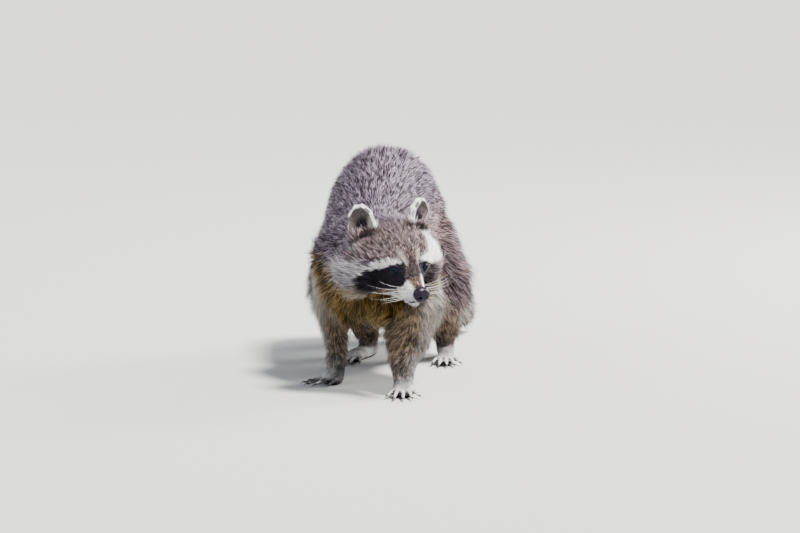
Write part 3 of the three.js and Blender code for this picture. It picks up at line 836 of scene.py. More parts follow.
def tufts(surface, normals, lie, owner, depth):
    """All the tufts of the coat as arrays."""
    hollow = hollows(surface, normals)
    spacing = surface.smoothed(by_part(owner, SPACING), 6)
    spacing *= 1 - 0.15 * step_between(4 * MM, 2.5 * MM, depth) * owned_by(owner, "head")
    lean = surface.smoothed(by_part(owner, LEAN), 10)
    width = surface.smoothed(by_part(owner, WIDTH), 6) * MM
    triangle, share = sown(surface, spacing)
    kept = ~owned_by(owner[surface.triangles[triangle, 0]], "nose", "eye")
    triangle, share = triangle[kept], share[kept]
    corner = surface.triangles[triangle]
    owners = owner[corner[:, 0]]

    def at(values):
        picked = values[corner]
        weights = share.reshape(share.shape + (1,) * (picked.ndim - 2))
        return np.sum(picked * weights, axis=1)

    root, normal = at(surface.points), unit(at(normals))
    count = len(root)
    leader = nearest_leaders(root, owners)
    way, side = directions(root, normal, unit(at(lie)), leader)
    stray = random.uniform(0, 1, count) < STRAY_SHARE
    wispy = wisps(root, normal, owners)
    lean = leaning(at(lean), root, stray, leader)
    length = tuft_lengths(root, normal, owners, at(depth), lean, stray, wispy, leader)
    width = at(width) * random.uniform(0.75, 1.2, count) * np.where(stray, 0.6, 1)

    low, high = lean + BEND_ANGLE, lean - BEND_ANGLE
    root = root - normal * ROOT_DEPTH
    first = np.cos(low)[:, None] * way + np.sin(low)[:, None] * normal
    second = np.cos(high)[:, None] * way + np.sin(high)[:, None] * normal
    bend = root + first * (BEND_SHARE * length)[:, None]
    tip = bend + second * ((1 - BEND_SHARE) * length)[:, None]
    pull = random.uniform(0.05, 0.6, count) * step_between(3 * MM, 10 * MM, length)
    tip += pull[:, None] * (tip[leader] - tip)
    bend += 0.35 * pull[:, None] * (bend[leader] - bend)
    tip[:, 2] = np.maximum(tip[:, 2], 0.3 * MM)
    bend[:, 2] = np.maximum(bend[:, 2], 0.8 * MM)
    tone = 0.58 * random.uniform(0, 1, count)[leader] + 0.42 * random.uniform(0, 1, count)
    # stray wisps made light: partly pale guard hairs, partly painted rim light
    tone[stray & (wispy > 0.5)] = 1
    return {
        "corner": corner,
        "root": root,
        "bend": bend,
        "tip": tip,
        "side": side,
        "normal": normal,
        "width": width,
        "owner": owners,
        "tone": tone,
        "bent": (length > SHORT_HAIR) & (random.uniform(0, 1, count) < 0.5),
        "hollow": at(hollow),
    }


def set_attribute(mesh, name, kind, values):
    layer = mesh.attributes.new(name, kind, "POINT")
    key = {"FLOAT": "value", "FLOAT_COLOR": "color"}[kind]
    layer.data.foreach_set(key, np.ascontiguousarray(values, np.float32).ravel())


def ring_around(middles, out, side, width, flat):
    """The points of each tuft's ring."""
    ring = []
    for i in range(TUFT_SIDES):
        turn = 2 * math.pi * i / TUFT_SIDES + math.pi / 2
        ring.append(middles + (side * math.cos(turn) + out * flat * math.sin(turn)) * width[:, None])
    return np.stack(ring, axis=1)


def coat_piece(name, coat, picked, marks, root_uv, bent, material):
    """One mesh of closed tufts: a ring at the root, one at the bend where there is one, and a point."""
    root, bend, tip = coat["root"][picked], coat["bend"][picked], coat["tip"][picked]
    side, normal, width = coat["side"][picked], coat["normal"][picked], coat["width"][picked]
    count, n = len(root), TUFT_SIDES
    heights = [0.0, BEND_SHARE] if bent else [0.0]
    rings = [ring_around(root, normal, side, (0.36 if bent else 0.5) * width, 0.6)]
    if bent:
        rings.append(ring_around(bend, normal, side, 0.5 * width, 0.5))
    points = np.concatenate(rings + [tip[:, None]], axis=1)
    last = n * (len(rings) - 1)
    sides = [(i, (i + 1) % n, n + (i + 1) % n, n + i) for i in range(n)] if bent else []
    ends = [(last + i, last + (i + 1) % n, last + n) for i in range(n)]
    faces = sides + ends + [tuple(reversed(range(n)))]
    per_tuft = np.array([i for face in faces for i in face])

    mesh = bpy.data.meshes.new(name)
    each = last + n + 1
    mesh.vertices.add(count * each)
    mesh.vertices.foreach_set("co", points.ravel())
    loops = (per_tuft[None, :] + each * np.arange(count)[:, None]).ravel()
    mesh.loops.add(len(loops))
    mesh.loops.foreach_set("vertex_index", loops)
    totals = np.tile([len(face) for face in faces], count)
    mesh.polygons.add(len(totals))
    mesh.polygons.foreach_set("loop_start", np.cumsum(totals) - totals)
    mesh.polygons.foreach_set("use_smooth", np.ones(len(totals), bool))
    mesh.update(calc_edges=True)

    along = np.repeat(heights + [1.0], [n] * len(heights) + [1])
    set_attribute(mesh, "along", "FLOAT", np.tile(along, count))
    set_attribute(mesh, "tone", "FLOAT", np.repeat(coat["tone"][picked], each))
    set_attribute(mesh, "marks", "FLOAT_COLOR", np.repeat(marks[picked], each, axis=0))
    across = np.array([math.cos(2 * math.pi * i / n) for i in range(n)] * len(heights) + [0.0])
    patch = UV_PATCH * np.stack([0.5 * across, along], axis=1)
    uv = root_uv[picked][:, None, :] + patch[None]
    layer = mesh.uv_layers.new(name="OFBake")
    layer.data.foreach_set("uv", uv.reshape(-1, 2)[loops].astype(np.float32).ravel())
    return new_piece(name, mesh, material)


COAT_PIECES = {
    "coat_head": ("face_fur", "head"),
    "coat_jaw": ("pale_fur", "lower_jaw"),
    "coat_ears": ("ear_fur", "ear"),
    "coat_neck": ("body_fur", "neck"),
    "coat_trunk": ("body_fur", "trunk"),
    "coat_thighs": ("body_fur", "thigh"),
    "coat_shanks": ("body_fur", "shank"),
    "coat_upper_arms": ("foreleg_fur", "upper_arm"),
    "coat_forearms": ("foreleg_fur", "forearm"),
    "coat_forepaws": ("paw_fur", "forepaw"),
    "coat_hind_feet": ("paw_fur", "hind_foot"),
    "coat_tail": ("tail_fur", "tail"),
}
MOST_TRIANGLES = 190000  # in one piece
BENT_TRIANGLES, STRAIGHT_TRIANGLES = 10, 4  # in one tuft


def make_coat(surface, normals, owner, depth, place_on_skin, material):
    """The coat by part, its bent tufts and its short straight ones apart, from the nose to the tail."""
    lie = lie_of_coat(surface, owner, normals)
    coat = tufts(surface, normals, lie, owner, depth)
    seen_part = 0.35 * coat["bend"] + 0.65 * coat["tip"]
    marks = markings(seen_part, coat["normal"], coat["owner"], coat["hollow"])
    root_uv = place_on_skin[coat["corner"][:, 0]]
    for name, (slot, part) in COAT_PIECES.items():
        for bent in (True, False):
            found = np.flatnonzero(owned_by(coat["owner"], part) & (coat["bent"] == bent))
            if not len(found):
                continue
            found = found[np.argsort(coat["root"][found, 1])]
            each = BENT_TRIANGLES if bent else STRAIGHT_TRIANGLES
            shares = np.array_split(found, math.ceil(len(found) * each / MOST_TRIANGLES))
            for i, share in enumerate(shares):
                ending = ("" if bent else "_short") + (f"_{i + 1}" if len(shares) > 1 else "")
                coat_piece(name + ending, coat, share, marks, root_uv, bent, material)


# ---- Materials ----


def srgb(red, green, blue):
    """A colour given as it looks on a screen, from 0 to 255, in linear light."""
    values = np.array([red, green, blue]) / 255
    return (*np.where(values <= 0.04045, values / 12.92, ((values + 0.055) / 1.055) ** 2.4), 1.0)


def node_of(tree, kind, values=None, **settings):
    """A node with its settings and its unlinked inputs set."""
    node = tree.nodes.new(kind)
    for key, value in settings.items():
        setattr(node, key, value)
    for key, value in (values or {}).items():
        node.inputs[key].default_value = value
    return node


def mixed(tree, factor, below, above, blend="MIX"):
    """The colour socket of below with above laid over it by factor."""
    mix = node_of(tree, "ShaderNodeMix", data_type="RGBA", blend_type=blend)
    for socket, value in ((mix.inputs[0], factor), (mix.inputs[6], below), (mix.inputs[7], above)):
        if isinstance(value, bpy.types.NodeSocket):
            tree.links.new(value, socket)
        else:
            socket.default_value = value
    return mix.outputs[2]


def ramp_of(tree, factor, stops):
    """A ramp through colours given as they look on a screen."""
    ramp = tree.nodes.new("ShaderNodeValToRGB")
    elements = ramp.color_ramp.elements
    while len(elements) < len(stops):
        elements.new(0.5)
    for element, (place, colour) in zip(elements, stops):
        element.position = place
        element.color = srgb(*colour)
    tree.links.new(factor, ramp.inputs["Fac"])
    return ramp.outputs["Color"]


def grain_of(tree, cells, detail):
    """Noise over the piece, with cells to the metre."""
    place = tree.nodes.new("ShaderNodeTexCoord")
    grain = node_of(tree, "ShaderNodeTexNoise", {"Scale": cells, "Detail": detail})
    tree.links.new(place.outputs["Object"], grain.inputs["Vector"])
    return grain.outputs["Fac"]


def raise_surface(tree, shader, height, strength, distance):
    relief = node_of(tree, "ShaderNodeBump", {"Strength": strength, "Distance": distance})
    tree.links.new(height, relief.inputs["Height"])
    tree.links.new(relief.outputs["Normal"], shader.inputs["Normal"])


# Colours along a hair, from its root to its tip: of a dark hair and of a light one in the same coat.
HAIR = {
    # The light bands' grey-brown is the hair's own; their violet cast is a painted reflection of blue sky.
    "Grizzled": (
        [(0.0, (24, 19, 21)), (0.5, (36, 29, 36)), (0.72, (48, 38, 47)), (0.95, (13, 10, 14))],
        [
            (0.0, (30, 24, 27)),
            (0.5, (48, 39, 47)),
            (0.62, (150, 134, 154)),
            (0.86, (196, 183, 202)),
            (1.0, (120, 106, 124)),
        ],
    ),
    "Brown": (
        [(0.0, (24, 17, 15)), (0.6, (50, 35, 30)), (1.0, (28, 20, 20))],
        [(0.0, (36, 26, 22)), (0.45, (74, 54, 47)), (0.62, (188, 150, 141)), (1.0, (226, 193, 184))],
    ),
    "Tan": (
        [(0.0, (32, 22, 6)), (0.6, (60, 44, 12)), (1.0, (42, 32, 12))],
        [(0.0, (48, 35, 8)), (0.45, (104, 78, 20)), (0.7, (170, 142, 72)), (1.0, (214, 194, 138))],
    ),
    "Pale": (
        [(0.0, (136, 132, 130)), (0.5, (212, 210, 210)), (1.0, (236, 235, 237))],
        [(0.0, (176, 173, 170)), (0.4, (248, 247, 247)), (1.0, (255, 255, 255))],
    ),
    # The light hairs' violet-grey tips are partly the hair's own paler tips and partly a painted sheen.
    "Dark": (
        [(0.0, (5, 3, 6)), (0.6, (9, 7, 11)), (1.0, (10, 8, 13))],
        [(0.0, (8, 6, 10)), (0.5, (24, 20, 32)), (1.0, (80, 70, 94))],
    ),
}
LIGHT_HAIRS = [(0.485, (0, 0, 0)), (0.59, (255, 255, 255))]  # from which tone on a hair is a light one


def make_hair_group():
    """The colour of one hair from its root to its tip, under the animal's markings and their painted shade.
    """
    group = bpy.data.node_groups.new("raccoon_hair", "ShaderNodeTree")
    for name in ("Along", "Tone", "Brown", "Tan", "Pale", "Dark"):
        group.interface.new_socket(name, in_out="INPUT", socket_type="NodeSocketFloat")
    group.interface.new_socket("Color", in_out="OUTPUT", socket_type="NodeSocketColor")
    inward = group.nodes.new("NodeGroupInput").outputs
    outward = group.nodes.new("NodeGroupOutput").inputs
    lightness = ramp_of(group, inward["Tone"], LIGHT_HAIRS)
    colour = None
    for shade, (dark_stops, light_stops) in HAIR.items():
        dark_hair = ramp_of(group, inward["Along"], dark_stops)
        light_hair = ramp_of(group, inward["Along"], light_stops)
        hair = mixed(group, lightness, dark_hair, light_hair)
        colour = hair if colour is None else mixed(group, inward[shade], colour, hair)
    group.links.new(colour, outward["Color"])
    return group


def make_fur_material(name, hair, on_skin):
    """Hair on the tufts, or on the skin between them the hair's dark root colour: its underfur, and painted
    shade deep in the coat.
    """
    material, tree, shader = plain_material(name, srgb(128, 118, 124), 0.6, Specular_IOR_Level=0.14)
    group = node_of(tree, "ShaderNodeGroup", node_tree=hair)
    marks = node_of(tree, "ShaderNodeAttribute", attribute_name="marks")
    parted = tree.nodes.new("ShaderNodeSeparateColor")
    tree.links.new(marks.outputs["Color"], parted.inputs["Color"])
    for mark, socket in zip(("Dark", "Pale", "Tan"), parted.outputs):
        tree.links.new(socket, group.inputs[mark])
    tree.links.new(marks.outputs["Alpha"], group.inputs["Brown"])
    if on_skin:
        # the skin takes the dark root colour: underfur, and painted shade under the tufts
        group.inputs["Along"].default_value = 0.3
        grain = grain_of(tree, 500.0, 3.0)
        tree.links.new(grain, group.inputs["Tone"])
        raise_surface(tree, shader, grain, 0.5, 0.6 * MM)
    else:
        for attribute, socket in (("along", "Along"), ("tone", "Tone")):
            source = node_of(tree, "ShaderNodeAttribute", attribute_name=attribute)
            tree.links.new(source.outputs["Fac"], group.inputs[socket])
    tree.links.new(group.outputs["Color"], shader.inputs["Base Color"])
    return material


def plain_material(name, colour, roughness, **sockets):
    """A material with its tree and its shader, set with values that are the same all over."""
    material = bpy.data.materials.new(name)
    material.use_nodes = True
    shader = material.node_tree.nodes["Principled BSDF"]
    shader.inputs["Base Color"].default_value = colour
    shader.inputs["Roughness"].default_value = roughness
    for socket, value in sockets.items():
        shader.inputs[socket.replace("_", " ")].default_value = value
    return material, material.node_tree, shader


def make_pebble_group():
    """Bare skin of small pebbles, cells to the metre: the distance from a pebble's top, and its relief."""
    group = bpy.data.node_groups.new("pebbled_skin", "ShaderNodeTree")
    for name in ("Cells", "Strength"):
        group.interface.new_socket(name, in_out="INPUT", socket_type="NodeSocketFloat")
    group.interface.new_socket("From Top", in_out="OUTPUT", socket_type="NodeSocketFloat")
    group.interface.new_socket("Normal", in_out="OUTPUT", socket_type="NodeSocketVector")
    inward = group.nodes.new("NodeGroupInput").outputs
    outward = group.nodes.new("NodeGroupOutput").inputs
    place = group.nodes.new("ShaderNodeTexCoord")
    pebbles = group.nodes.new("ShaderNodeTexVoronoi")
    relief = node_of(group, "ShaderNodeBump", {"Distance": 0.2 * MM}, invert=True)
    group.links.new(place.outputs["Object"], pebbles.inputs["Vector"])
    group.links.new(inward["Cells"], pebbles.inputs["Scale"])
    group.links.new(inward["Strength"], relief.inputs["Strength"])
    group.links.new(pebbles.outputs["Distance"], relief.inputs["Height"])
    group.links.new(pebbles.outputs["Distance"], outward["From Top"])
    group.links.new(relief.outputs["Normal"], outward["Normal"])
    return group


def make_pebbled_material(name, pebbles, cells, strength, stops, roughness, **sockets):
    """Bare dark skin: stops are its colours from a pebble's top down to its edge."""
    material, tree, shader = plain_material(name, srgb(*stops[0][1]), roughness, **sockets)
    relief = node_of(tree, "ShaderNodeGroup", node_tree=pebbles)
    relief.inputs["Cells"].default_value = cells
    relief.inputs["Strength"].default_value = strength
    tree.links.new(ramp_of(tree, relief.outputs["From Top"], stops), shader.inputs["Base Color"])
    tree.links.new(relief.outputs["Normal"], shader.inputs["Normal"])
    return material


def make_nose_material(pebbles):
    """Damp black skin, with a painted violet sheen on the tops of its pebbles."""
    # painted sheen: violet-grey on each pebble's top, near black at its edge
    stops = [(0.0, (32, 26, 42)), (0.8, (10, 8, 14))]
    damp = {"Coat_Weight": 0.06, "Coat_Roughness": 0.2, "Specular_IOR_Level": 0.16}
    return make_pebbled_material("damp_nose", pebbles, 1500.0, 0.45, stops, 0.32, **damp)


def make_lid_material(pebbles):
    stops = [(0.0, (14, 11, 13)), (0.8, (6, 4, 6))]
    return make_pebbled_material("lid_skin", pebbles, 1100.0, 0.4, stops, 0.8, Specular_IOR_Level=0.05)


# Colours of the eyeball by the angle from the middle of its pupil, in half turns: the pupil, the iris with
# its lightest ring and the dark edge that the lids nearly cover.
# The iris's navy blue is a painted reflection of blue sky, in place of its own dark brown.
EYE_RINGS = [
    (0.0, (2, 3, 8)),
    (0.115, (4, 7, 15)),
    (0.15, (7, 15, 28)),
    (0.2, (14, 29, 47)),
    (0.25, (10, 18, 29)),
    (0.28, (6, 5, 7)),
]


def make_eye_material():
    """A round black pupil in a dark iris with fine spokes, tinted navy as a painted sky reflection, under a
    clear wet coat.
    """
    wet = {"Coat_Weight": 0.05, "Coat_Roughness": 0.04, "Specular_IOR_Level": 0.05}
    material, tree, shader = plain_material("eyeball", srgb(14, 14, 20), 0.08, **wet)
    angle = node_of(tree, "ShaderNodeAttribute", attribute_name="from_pupil").outputs["Fac"]
    rings = ramp_of(tree, angle, EYE_RINGS)
    flecked = mixed(tree, grain_of(tree, 900.0, 2.0), (0.55, 0.55, 0.6, 1), (1.3, 1.3, 1.3, 1))
    tree.links.new(mixed(tree, 1.0, rings, flecked, "MULTIPLY"), shader.inputs["Base Color"])
    return material


def make_whisker_material():
    material, tree, shader = plain_material("whisker", srgb(236, 234, 228), 0.45)
    colour = ramp_of(tree, grain_of(tree, 120.0, 1.0), [(0.3, (206, 202, 194)), (0.6, (248, 247, 243))])
    tree.links.new(colour, shader.inputs["Base Color"])
    return material


def make_claw_material():
    """Dark horn, a little paler in places."""
    material, tree, shader = plain_material("claw_horn", srgb(40, 34, 33), 0.38)
    grain = grain_of(tree, 700.0, 4.0)
    colour = ramp_of(tree, grain, [(0.35, (26, 21, 22)), (0.7, (74, 64, 60))])
    tree.links.new(colour, shader.inputs["Base Color"])
    raise_surface(tree, shader, grain, 0.25, 0.2 * MM)
    return material


# ---- Eyes, nose, whiskers and claws ----


def off_face(left, front, up):
    """The place of a point given in the face's millimetres."""
    return Vector(BROW + MM * (left * FACE_LEFT + front * FACE_FRONT + up * FACE_UP))


def turned_to(out, upward):
    """A turn whose Z axis points out and whose Y axis points as far upward as it can."""
    z = Vector(out).normalized()
    x = Vector(upward).cross(z).normalized()
    return Matrix((x, z.cross(x), z)).transposed().to_4x4()


def mesh_from(bm, name):
    mesh = bpy.data.meshes.new(name)
    bm.normal_update()
    bm.to_mesh(mesh)
    bm.free()
    mesh.polygons.foreach_set("use_smooth", np.ones(len(mesh.polygons), bool))
    return mesh


def next_ring(bm, edges):
    """Extrudes a ring of edges. Gives the points and the edges of the new ring."""
    made = bmesh.ops.extrude_edge_only(bm, edges=edges)["geom"]
    points = [item for item in made if isinstance(item, bmesh.types.BMVert)]
    return points, [item for item in made if isinstance(item, bmesh.types.BMEdge) and item.is_boundary]


EYE_DEPTH = 1.2 * MM  # how far an eye is sunk behind its solid's middle
EYEBALL_RADIUS = 1.04 * EYE_RADIUS


def eye_outlook(side, surface, owner, normals):
    """The way an eye faces: the mean way that the skin around it faces."""
    away = np.linalg.norm(surface.points - EYES[side], axis=1)
    around = (away < 15 * MM) & ~owned_by(owner, "eye")
    return unit(normals[around].mean(axis=0) + 0.55 * FACE_FRONT)


def eye_place(side, outlook):
    """The place and the turn of an eye, with its Z axis pointing out of it."""
    return Matrix.Translation(Vector(EYES[side] - EYE_DEPTH * outlook)) @ turned_to(outlook, FACE_UP)


def make_eye(side, outlook, material):
    """An eyeball with a cornea that stands out of it a little."""
    bm = bmesh.new()
    bmesh.ops.create_uvsphere(bm, u_segments=48, v_segments=36, radius=EYEBALL_RADIUS)
    outward = Vector((0, 0, 1))
    angles = np.array([vert.co.angle(outward) for vert in bm.verts])
    for vert, angle in zip(bm.verts, angles):
        vert.co *= 1 + 0.06 * max(0, math.cos(1.9 * angle)) if angle < 0.8 else 1
    bmesh.ops.transform(bm, matrix=eye_place(side, outlook), verts=bm.verts)
    mesh = mesh_from(bm, f"eyeball_{side}")
    set_attribute(mesh, "from_pupil", "FLOAT", angles / math.pi)
    return new_piece(f"eyeball_{side}", mesh, material, (f"eye_{side}",))


LID_POINTS = 56
# Rings of a lid, from its edge: how far back from the opening (degrees), and how far out (millimetres).
LID_RINGS = [
    (-1.5, -0.25), (-1.0, 0.0), (1.0, 0.18), (5, 0.22),
    (11, 0.1), (19, -0.2), (29, -0.8), (42, -1.7),
]
LID_GAP = 0.25  # between a lid and the eyeball, in millimetres
# How many degrees from the middle of an eye its opening ends, and how round that opening is: at 2 it is an
# ellipse, and below 2 an almond.
INNER_CORNER, OUTER_CORNER, UPPER_EDGE = 60, 55, 47
ALMOND = 1.6


def lid_edge(around, side):
    """How many degrees from the middle of an eye its almond opening ends, all around it."""
    sideways = 1 if side == "left" else -1
    corner = np.where(np.cos(around) * sideways < 0, INNER_CORNER, OUTER_CORNER)
    across, up = np.abs(np.cos(around)) / corner, np.abs(np.sin(around)) / UPPER_EDGE
    return (across**ALMOND + up**ALMOND) ** (-1 / ALMOND)


def lid_radius(around, back):
    """How far a lid lies from the middle of the eye. It has a fold above the opening."""
    out = np.interp(back, *np.array(LID_RINGS).T)
    fold = 0.35 * bump(back, 13, 5) * np.maximum(0, np.sin(around))
    return EYEBALL_RADIUS + (out + fold + LID_GAP) * MM


def make_lids(side, outlook, material):
    """The lids as one ring of skin around an almond opening, with a rolled edge and a fold above it."""
    bm = bmesh.new()
    bmesh.ops.create_circle(bm, segments=LID_POINTS, radius=1)
    ring, edges = list(bm.verts), list(bm.edges)
    rings = [ring]
    for _ in LID_RINGS[1:]:
        ring, edges = next_ring(bm, edges)
        rings.append(ring)
    for ring, (back, _) in zip(rings, LID_RINGS):
        for vert in ring:
            around = math.atan2(vert.co.y, vert.co.x)
            angle = math.radians(lid_edge(around, side) + back)
            wide = math.sin(angle)
            way = Vector((wide * math.cos(around), wide * math.sin(around), math.cos(angle)))
            vert.co = float(lid_radius(around, back)) * way
    bmesh.ops.recalc_face_normals(bm, faces=bm.faces)
    if sum(face.normal.dot(face.calc_center_median()) for face in bm.faces) < 0:
        bmesh.ops.reverse_faces(bm, faces=bm.faces)
    bmesh.ops.solidify(bm, geom=list(bm.faces), thickness=0.4 * MM)
    bmesh.ops.transform(bm, matrix=eye_place(side, outlook), verts=bm.verts)
    piece = new_piece(f"lids_{side}", mesh_from(bm, f"lids_{side}"), material)
    smooth = piece.modifiers.new("Subdivision", "SUBSURF")
    smooth.levels = smooth.render_levels = 1


LID_TUFTS = 900


def make_lid_fur(side, outlook, skin_tree, triangles, place_on_skin, material):
    """Short dark tufts on the lids, which point away from the opening."""
    around = random.uniform(0, 2 * math.pi, LID_TUFTS)
    back = random.uniform(3, 42, LID_TUFTS)
    angle = np.radians(lid_edge(around, side) + back)
    place = np.array(eye_place(side, outlook))
    turn, centre = place[:3, :3].T, place[:3, 3]
    out, wide = np.cos(angle), np.sin(angle)
    normal = np.stack([wide * np.cos(around), wide * np.sin(around), out], axis=1) @ turn
    way = np.stack([out * np.cos(around), out * np.sin(around), -wide], axis=1) @ turn
    root = centre + (lid_radius(around, back) - 0.2 * MM)[:, None] * normal
    lean = np.radians(random.uniform(10, 26, LID_TUFTS))[:, None]
    length = random.uniform(1.7, 3.0, LID_TUFTS)[:, None] * MM
    below = [skin_tree.find_nearest(Vector(point))[2] for point in root]
    fur = {
        "root": root,
        "bend": root,
        "tip": root + length * (np.cos(lean) * way + np.sin(lean) * normal),
        "side": unit(np.cross(normal, way)),
        "normal": normal,
        "width": random.uniform(0.34, 0.5, LID_TUFTS) * MM,
        "tone": random.uniform(0, 1, LID_TUFTS),
    }
    marks = np.tile([1.0, 0.0, 0.0, 0.0], (LID_TUFTS, 1))
    root_uv = place_on_skin[triangles[below, 0]]
    coat_piece(f"coat_lids_{side}", fur, np.arange(LID_TUFTS), marks, root_uv, False, material)


NOSE_TILT = math.radians(24)  # how far the pad faces up from the line of the muzzle
NOSE_HALF_WIDTH, NOSE_HALF_DEPTH, NOSE_HALF_HEIGHT = 12.0, 9.6, 10.8  # in millimetres
NOSE_FRONT, NOSE_UP = 47.2, 1.2  # where its middle lies from between the eyes


def make_nose(material):
    """The nose pad, broad above and narrow below, with curled nostrils and a groove between them."""
    bm = bmesh.new()
    bmesh.ops.create_icosphere(bm, subdivisions=6, radius=1)
    ball = np.array([vert.co for vert in bm.verts])
    x, y, z = ball.T
    ahead = np.maximum(0, y)
    left = NOSE_HALF_WIDTH * (1 - 0.3 * np.maximum(0, -z) ** 1.3) * x
    up = NOSE_HALF_HEIGHT * z
    front = NOSE_HALF_DEPTH * y - 1.6 * ahead * ahead * (1 - 0.4 * x * x) - 0.16 * np.maximum(0, up)

    aside = np.abs(left)
    opening = np.hypot((aside - 5.0) / 2.3, (up + 0.6) / 1.8)
    slit = np.hypot((aside - 8.0) / 3.4, (up + 2.0 - 0.16 * (aside - 8)) / 0.95)
    nostril = 3.6 * np.exp(-(opening**3.2)) * step_between(0.1, 0.5, ahead)
    nostril += 1.7 * np.exp(-(slit**2.6)) * step_between(-0.5, 0.1, y)
    lip = 0.45 * bump(opening, 1.25, 0.3) * step_between(0.2, 0.6, ahead)
    groove = 0.8 * bump(left, 0, 0.75) * step_between(-2.5, 1.0, -up) * ahead
    crease = 0.5 * bump(up, 6.6, 1.2) * bump(left, 0, 5) * ahead
    left, front, up = np.stack([left, front, up]) - ball.T * (nostril + groove + crease - lip)

    tilted_front = front * math.cos(NOSE_TILT) - up * math.sin(NOSE_TILT)
    tilted_up = front * math.sin(NOSE_TILT) + up * math.cos(NOSE_TILT)
    for vert, place in zip(bm.verts, zip(left, tilted_front + NOSE_FRONT, tilted_up + NOSE_UP)):
        vert.co = off_face(*place)
    bmesh.ops.recalc_face_normals(bm, faces=bm.faces)
    return new_piece("nose_pad", mesh_from(bm, "nose_pad"), material, ("nose",))


def tapered(name, lines, widest, material):
    """Round tapered strands along lines of points, as one mesh. Each has its own share of the width."""
    curve = bpy.data.curves.new(name, "CURVE")
    curve.dimensions = "3D"
    curve.bevel_depth = widest / 2
    curve.bevel_resolution = 1
    curve.use_fill_caps = True
    for points, share in lines:
        spline = curve.splines.new("POLY")
        spline.points.add(len(points) - 1)
        for i, (bead, place) in enumerate(zip(spline.points, points)):
            bead.co = (*place, 1)
            bead.radius = share * (1 - 0.93 * (i / (len(points) - 1)) ** 1.3)
    holder = bpy.data.objects.new(name, curve)
    bpy.context.scene.collection.objects.link(holder)
    mesh = bpy.data.meshes.new_from_object(holder.evaluated_get(bpy.context.evaluated_depsgraph_get()))
    bpy.data.objects.remove(holder)
    bpy.data.curves.remove(curve)
    return new_piece(name, mesh, material)


WHISKER_POINTS = 12
WHISKER_WIDTH = 0.38 * MM
# Roots of one side's whiskers (millimetres to the side, front and up), their length, lift and sweep back.
WHISKERS = [
    (12, 27, -5, 50, 0.30, 0.5),
    (12, 32, -7, 44, 0.20, 0.4),
    (12, 37, -9, 36, 0.12, 0.3),
    (13, 23, -11, 58, 0.12, 0.55),
    (13, 29, -13, 54, 0.02, 0.45),
    (12, 35, -15, 46, -0.05, 0.35),
    (14, 21, -18, 56, -0.06, 0.6),
    (13, 27, -20, 50, -0.16, 0.5),
    (11, 34, -20, 40, -0.24, 0.4),
]
BROW_WHISKERS = [(15, 0, 12, 30), (19, -3, 14, 34), (50, -22, -16, 30)]  # their roots and lengths


def curved_line(root, way, bend, length):
    """Points of a strand that leaves its root one way and bends evenly another way."""
    points = []
    for i in range(WHISKER_POINTS):
        t = i / (WHISKER_POINTS - 1)
        points.append(root + length * (t * way + 0.5 * t * t * bend))
    return points


def make_whiskers(skin_tree, material):
    """Stiff pale whiskers that fan out from the muzzle, and a few above the eyes and on the cheeks."""
    lines = []
    left, front, up = (Vector(way) for way in (FACE_LEFT, FACE_FRONT, FACE_UP))
    sag = Vector((0, 0, -0.12))
    for sideways in (-1, 1):
        for aside, ahead, rise, length, lift, sweep in WHISKERS:
            root = skin_tree.find_nearest(off_face(sideways * aside, ahead, rise))[0]
            lift_stir, sweep_stir, curl_stir = random.uniform(-0.08, 0.08, 3).tolist()
            way = (sideways * left + 0.1 * front + (lift + lift_stir) * up).normalized()
            bend = -(sweep + sweep_stir) * front + (0.12 + curl_stir) * up - 0.25 * sideways * left + sag
            share = float(random.uniform(0.75, 1))
            lines.append((curved_line(root, way, bend, length * MM), share))
        for aside, ahead, rise, length in BROW_WHISKERS:
            root = skin_tree.find_nearest(off_face(sideways * aside, ahead, rise))[0]
            way = (0.7 * sideways * left + 0.35 * front + 0.6 * up).normalized()
            bend = -0.5 * front + 0.1 * sideways * left
            lines.append((curved_line(root, way, bend, length * MM), 0.6))
    return tapered("whiskers", lines, WHISKER_WIDTH, material)


CLAW_SIDES = 10
CLAW_RINGS = 8
CLAW_RADIUS, CLAW_TIP_RADIUS = 1.4 * MM, 0.12 * MM
CLAW_ARCH = 0.24  # how high a claw's back rises, as a share of its length


def grow_claw(bm, base, tip):
    """A narrow horn that tapers and curves down from its base to its tip."""
    reach = tip - base
    arch = Vector((0, 0, CLAW_ARCH * reach.length))
    side = reach.cross(Vector((0, 0, 1))).normalized()
    ring = bmesh.ops.create_circle(bm, segments=CLAW_SIDES, radius=1)["verts"]
    spots = [vert.co.copy() for vert in ring]
    edges = list({edge for vert in ring for edge in vert.link_edges})
    for i in range(CLAW_RINGS + 1):
        if i:
            ring, edges = next_ring(bm, edges)
        t = i / CLAW_RINGS
        place = base + t * reach + 4 * t * (1 - t) * arch * (1 - 0.3 * t)
        way = (reach + 4 * (1 - 2 * t) * arch).normalized()
        high = side.cross(way).normalized()
        radius = CLAW_RADIUS * (1 - t) ** 0.75 + CLAW_TIP_RADIUS
        for vert, spot in zip(ring, spots):
            flat = 1.0 if spot.y > 0 else 0.8
            vert.co = place + radius * (0.72 * spot.x * side + spot.y * flat * high)
    bmesh.ops.holes_fill(bm, edges=[edge for edge in bm.edges if edge.is_boundary])


def make_claws(foot, prefix, material):
    """The five claws of a foot as one piece, each grown out of its toe by a third of its length."""
    bm = bmesh.new()
    names = [f"{prefix}_{i}" for i in range(1, 6)]
    for name in names:
        points = corners_of(name)
        away = np.linalg.norm((points - middle(foot))[:, :2], axis=1)
        base = Vector(points[away <= np.percentile(away, 30)].mean(axis=0))
        tip = Vector(points[np.argmax(away)])
        grow_claw(bm, base - 0.3 * (tip - base), tip)
    bmesh.ops.recalc_face_normals(bm, faces=bm.faces)
    new_piece(f"claws_{foot}", mesh_from(bm, f"claws_{foot}"), material, names)


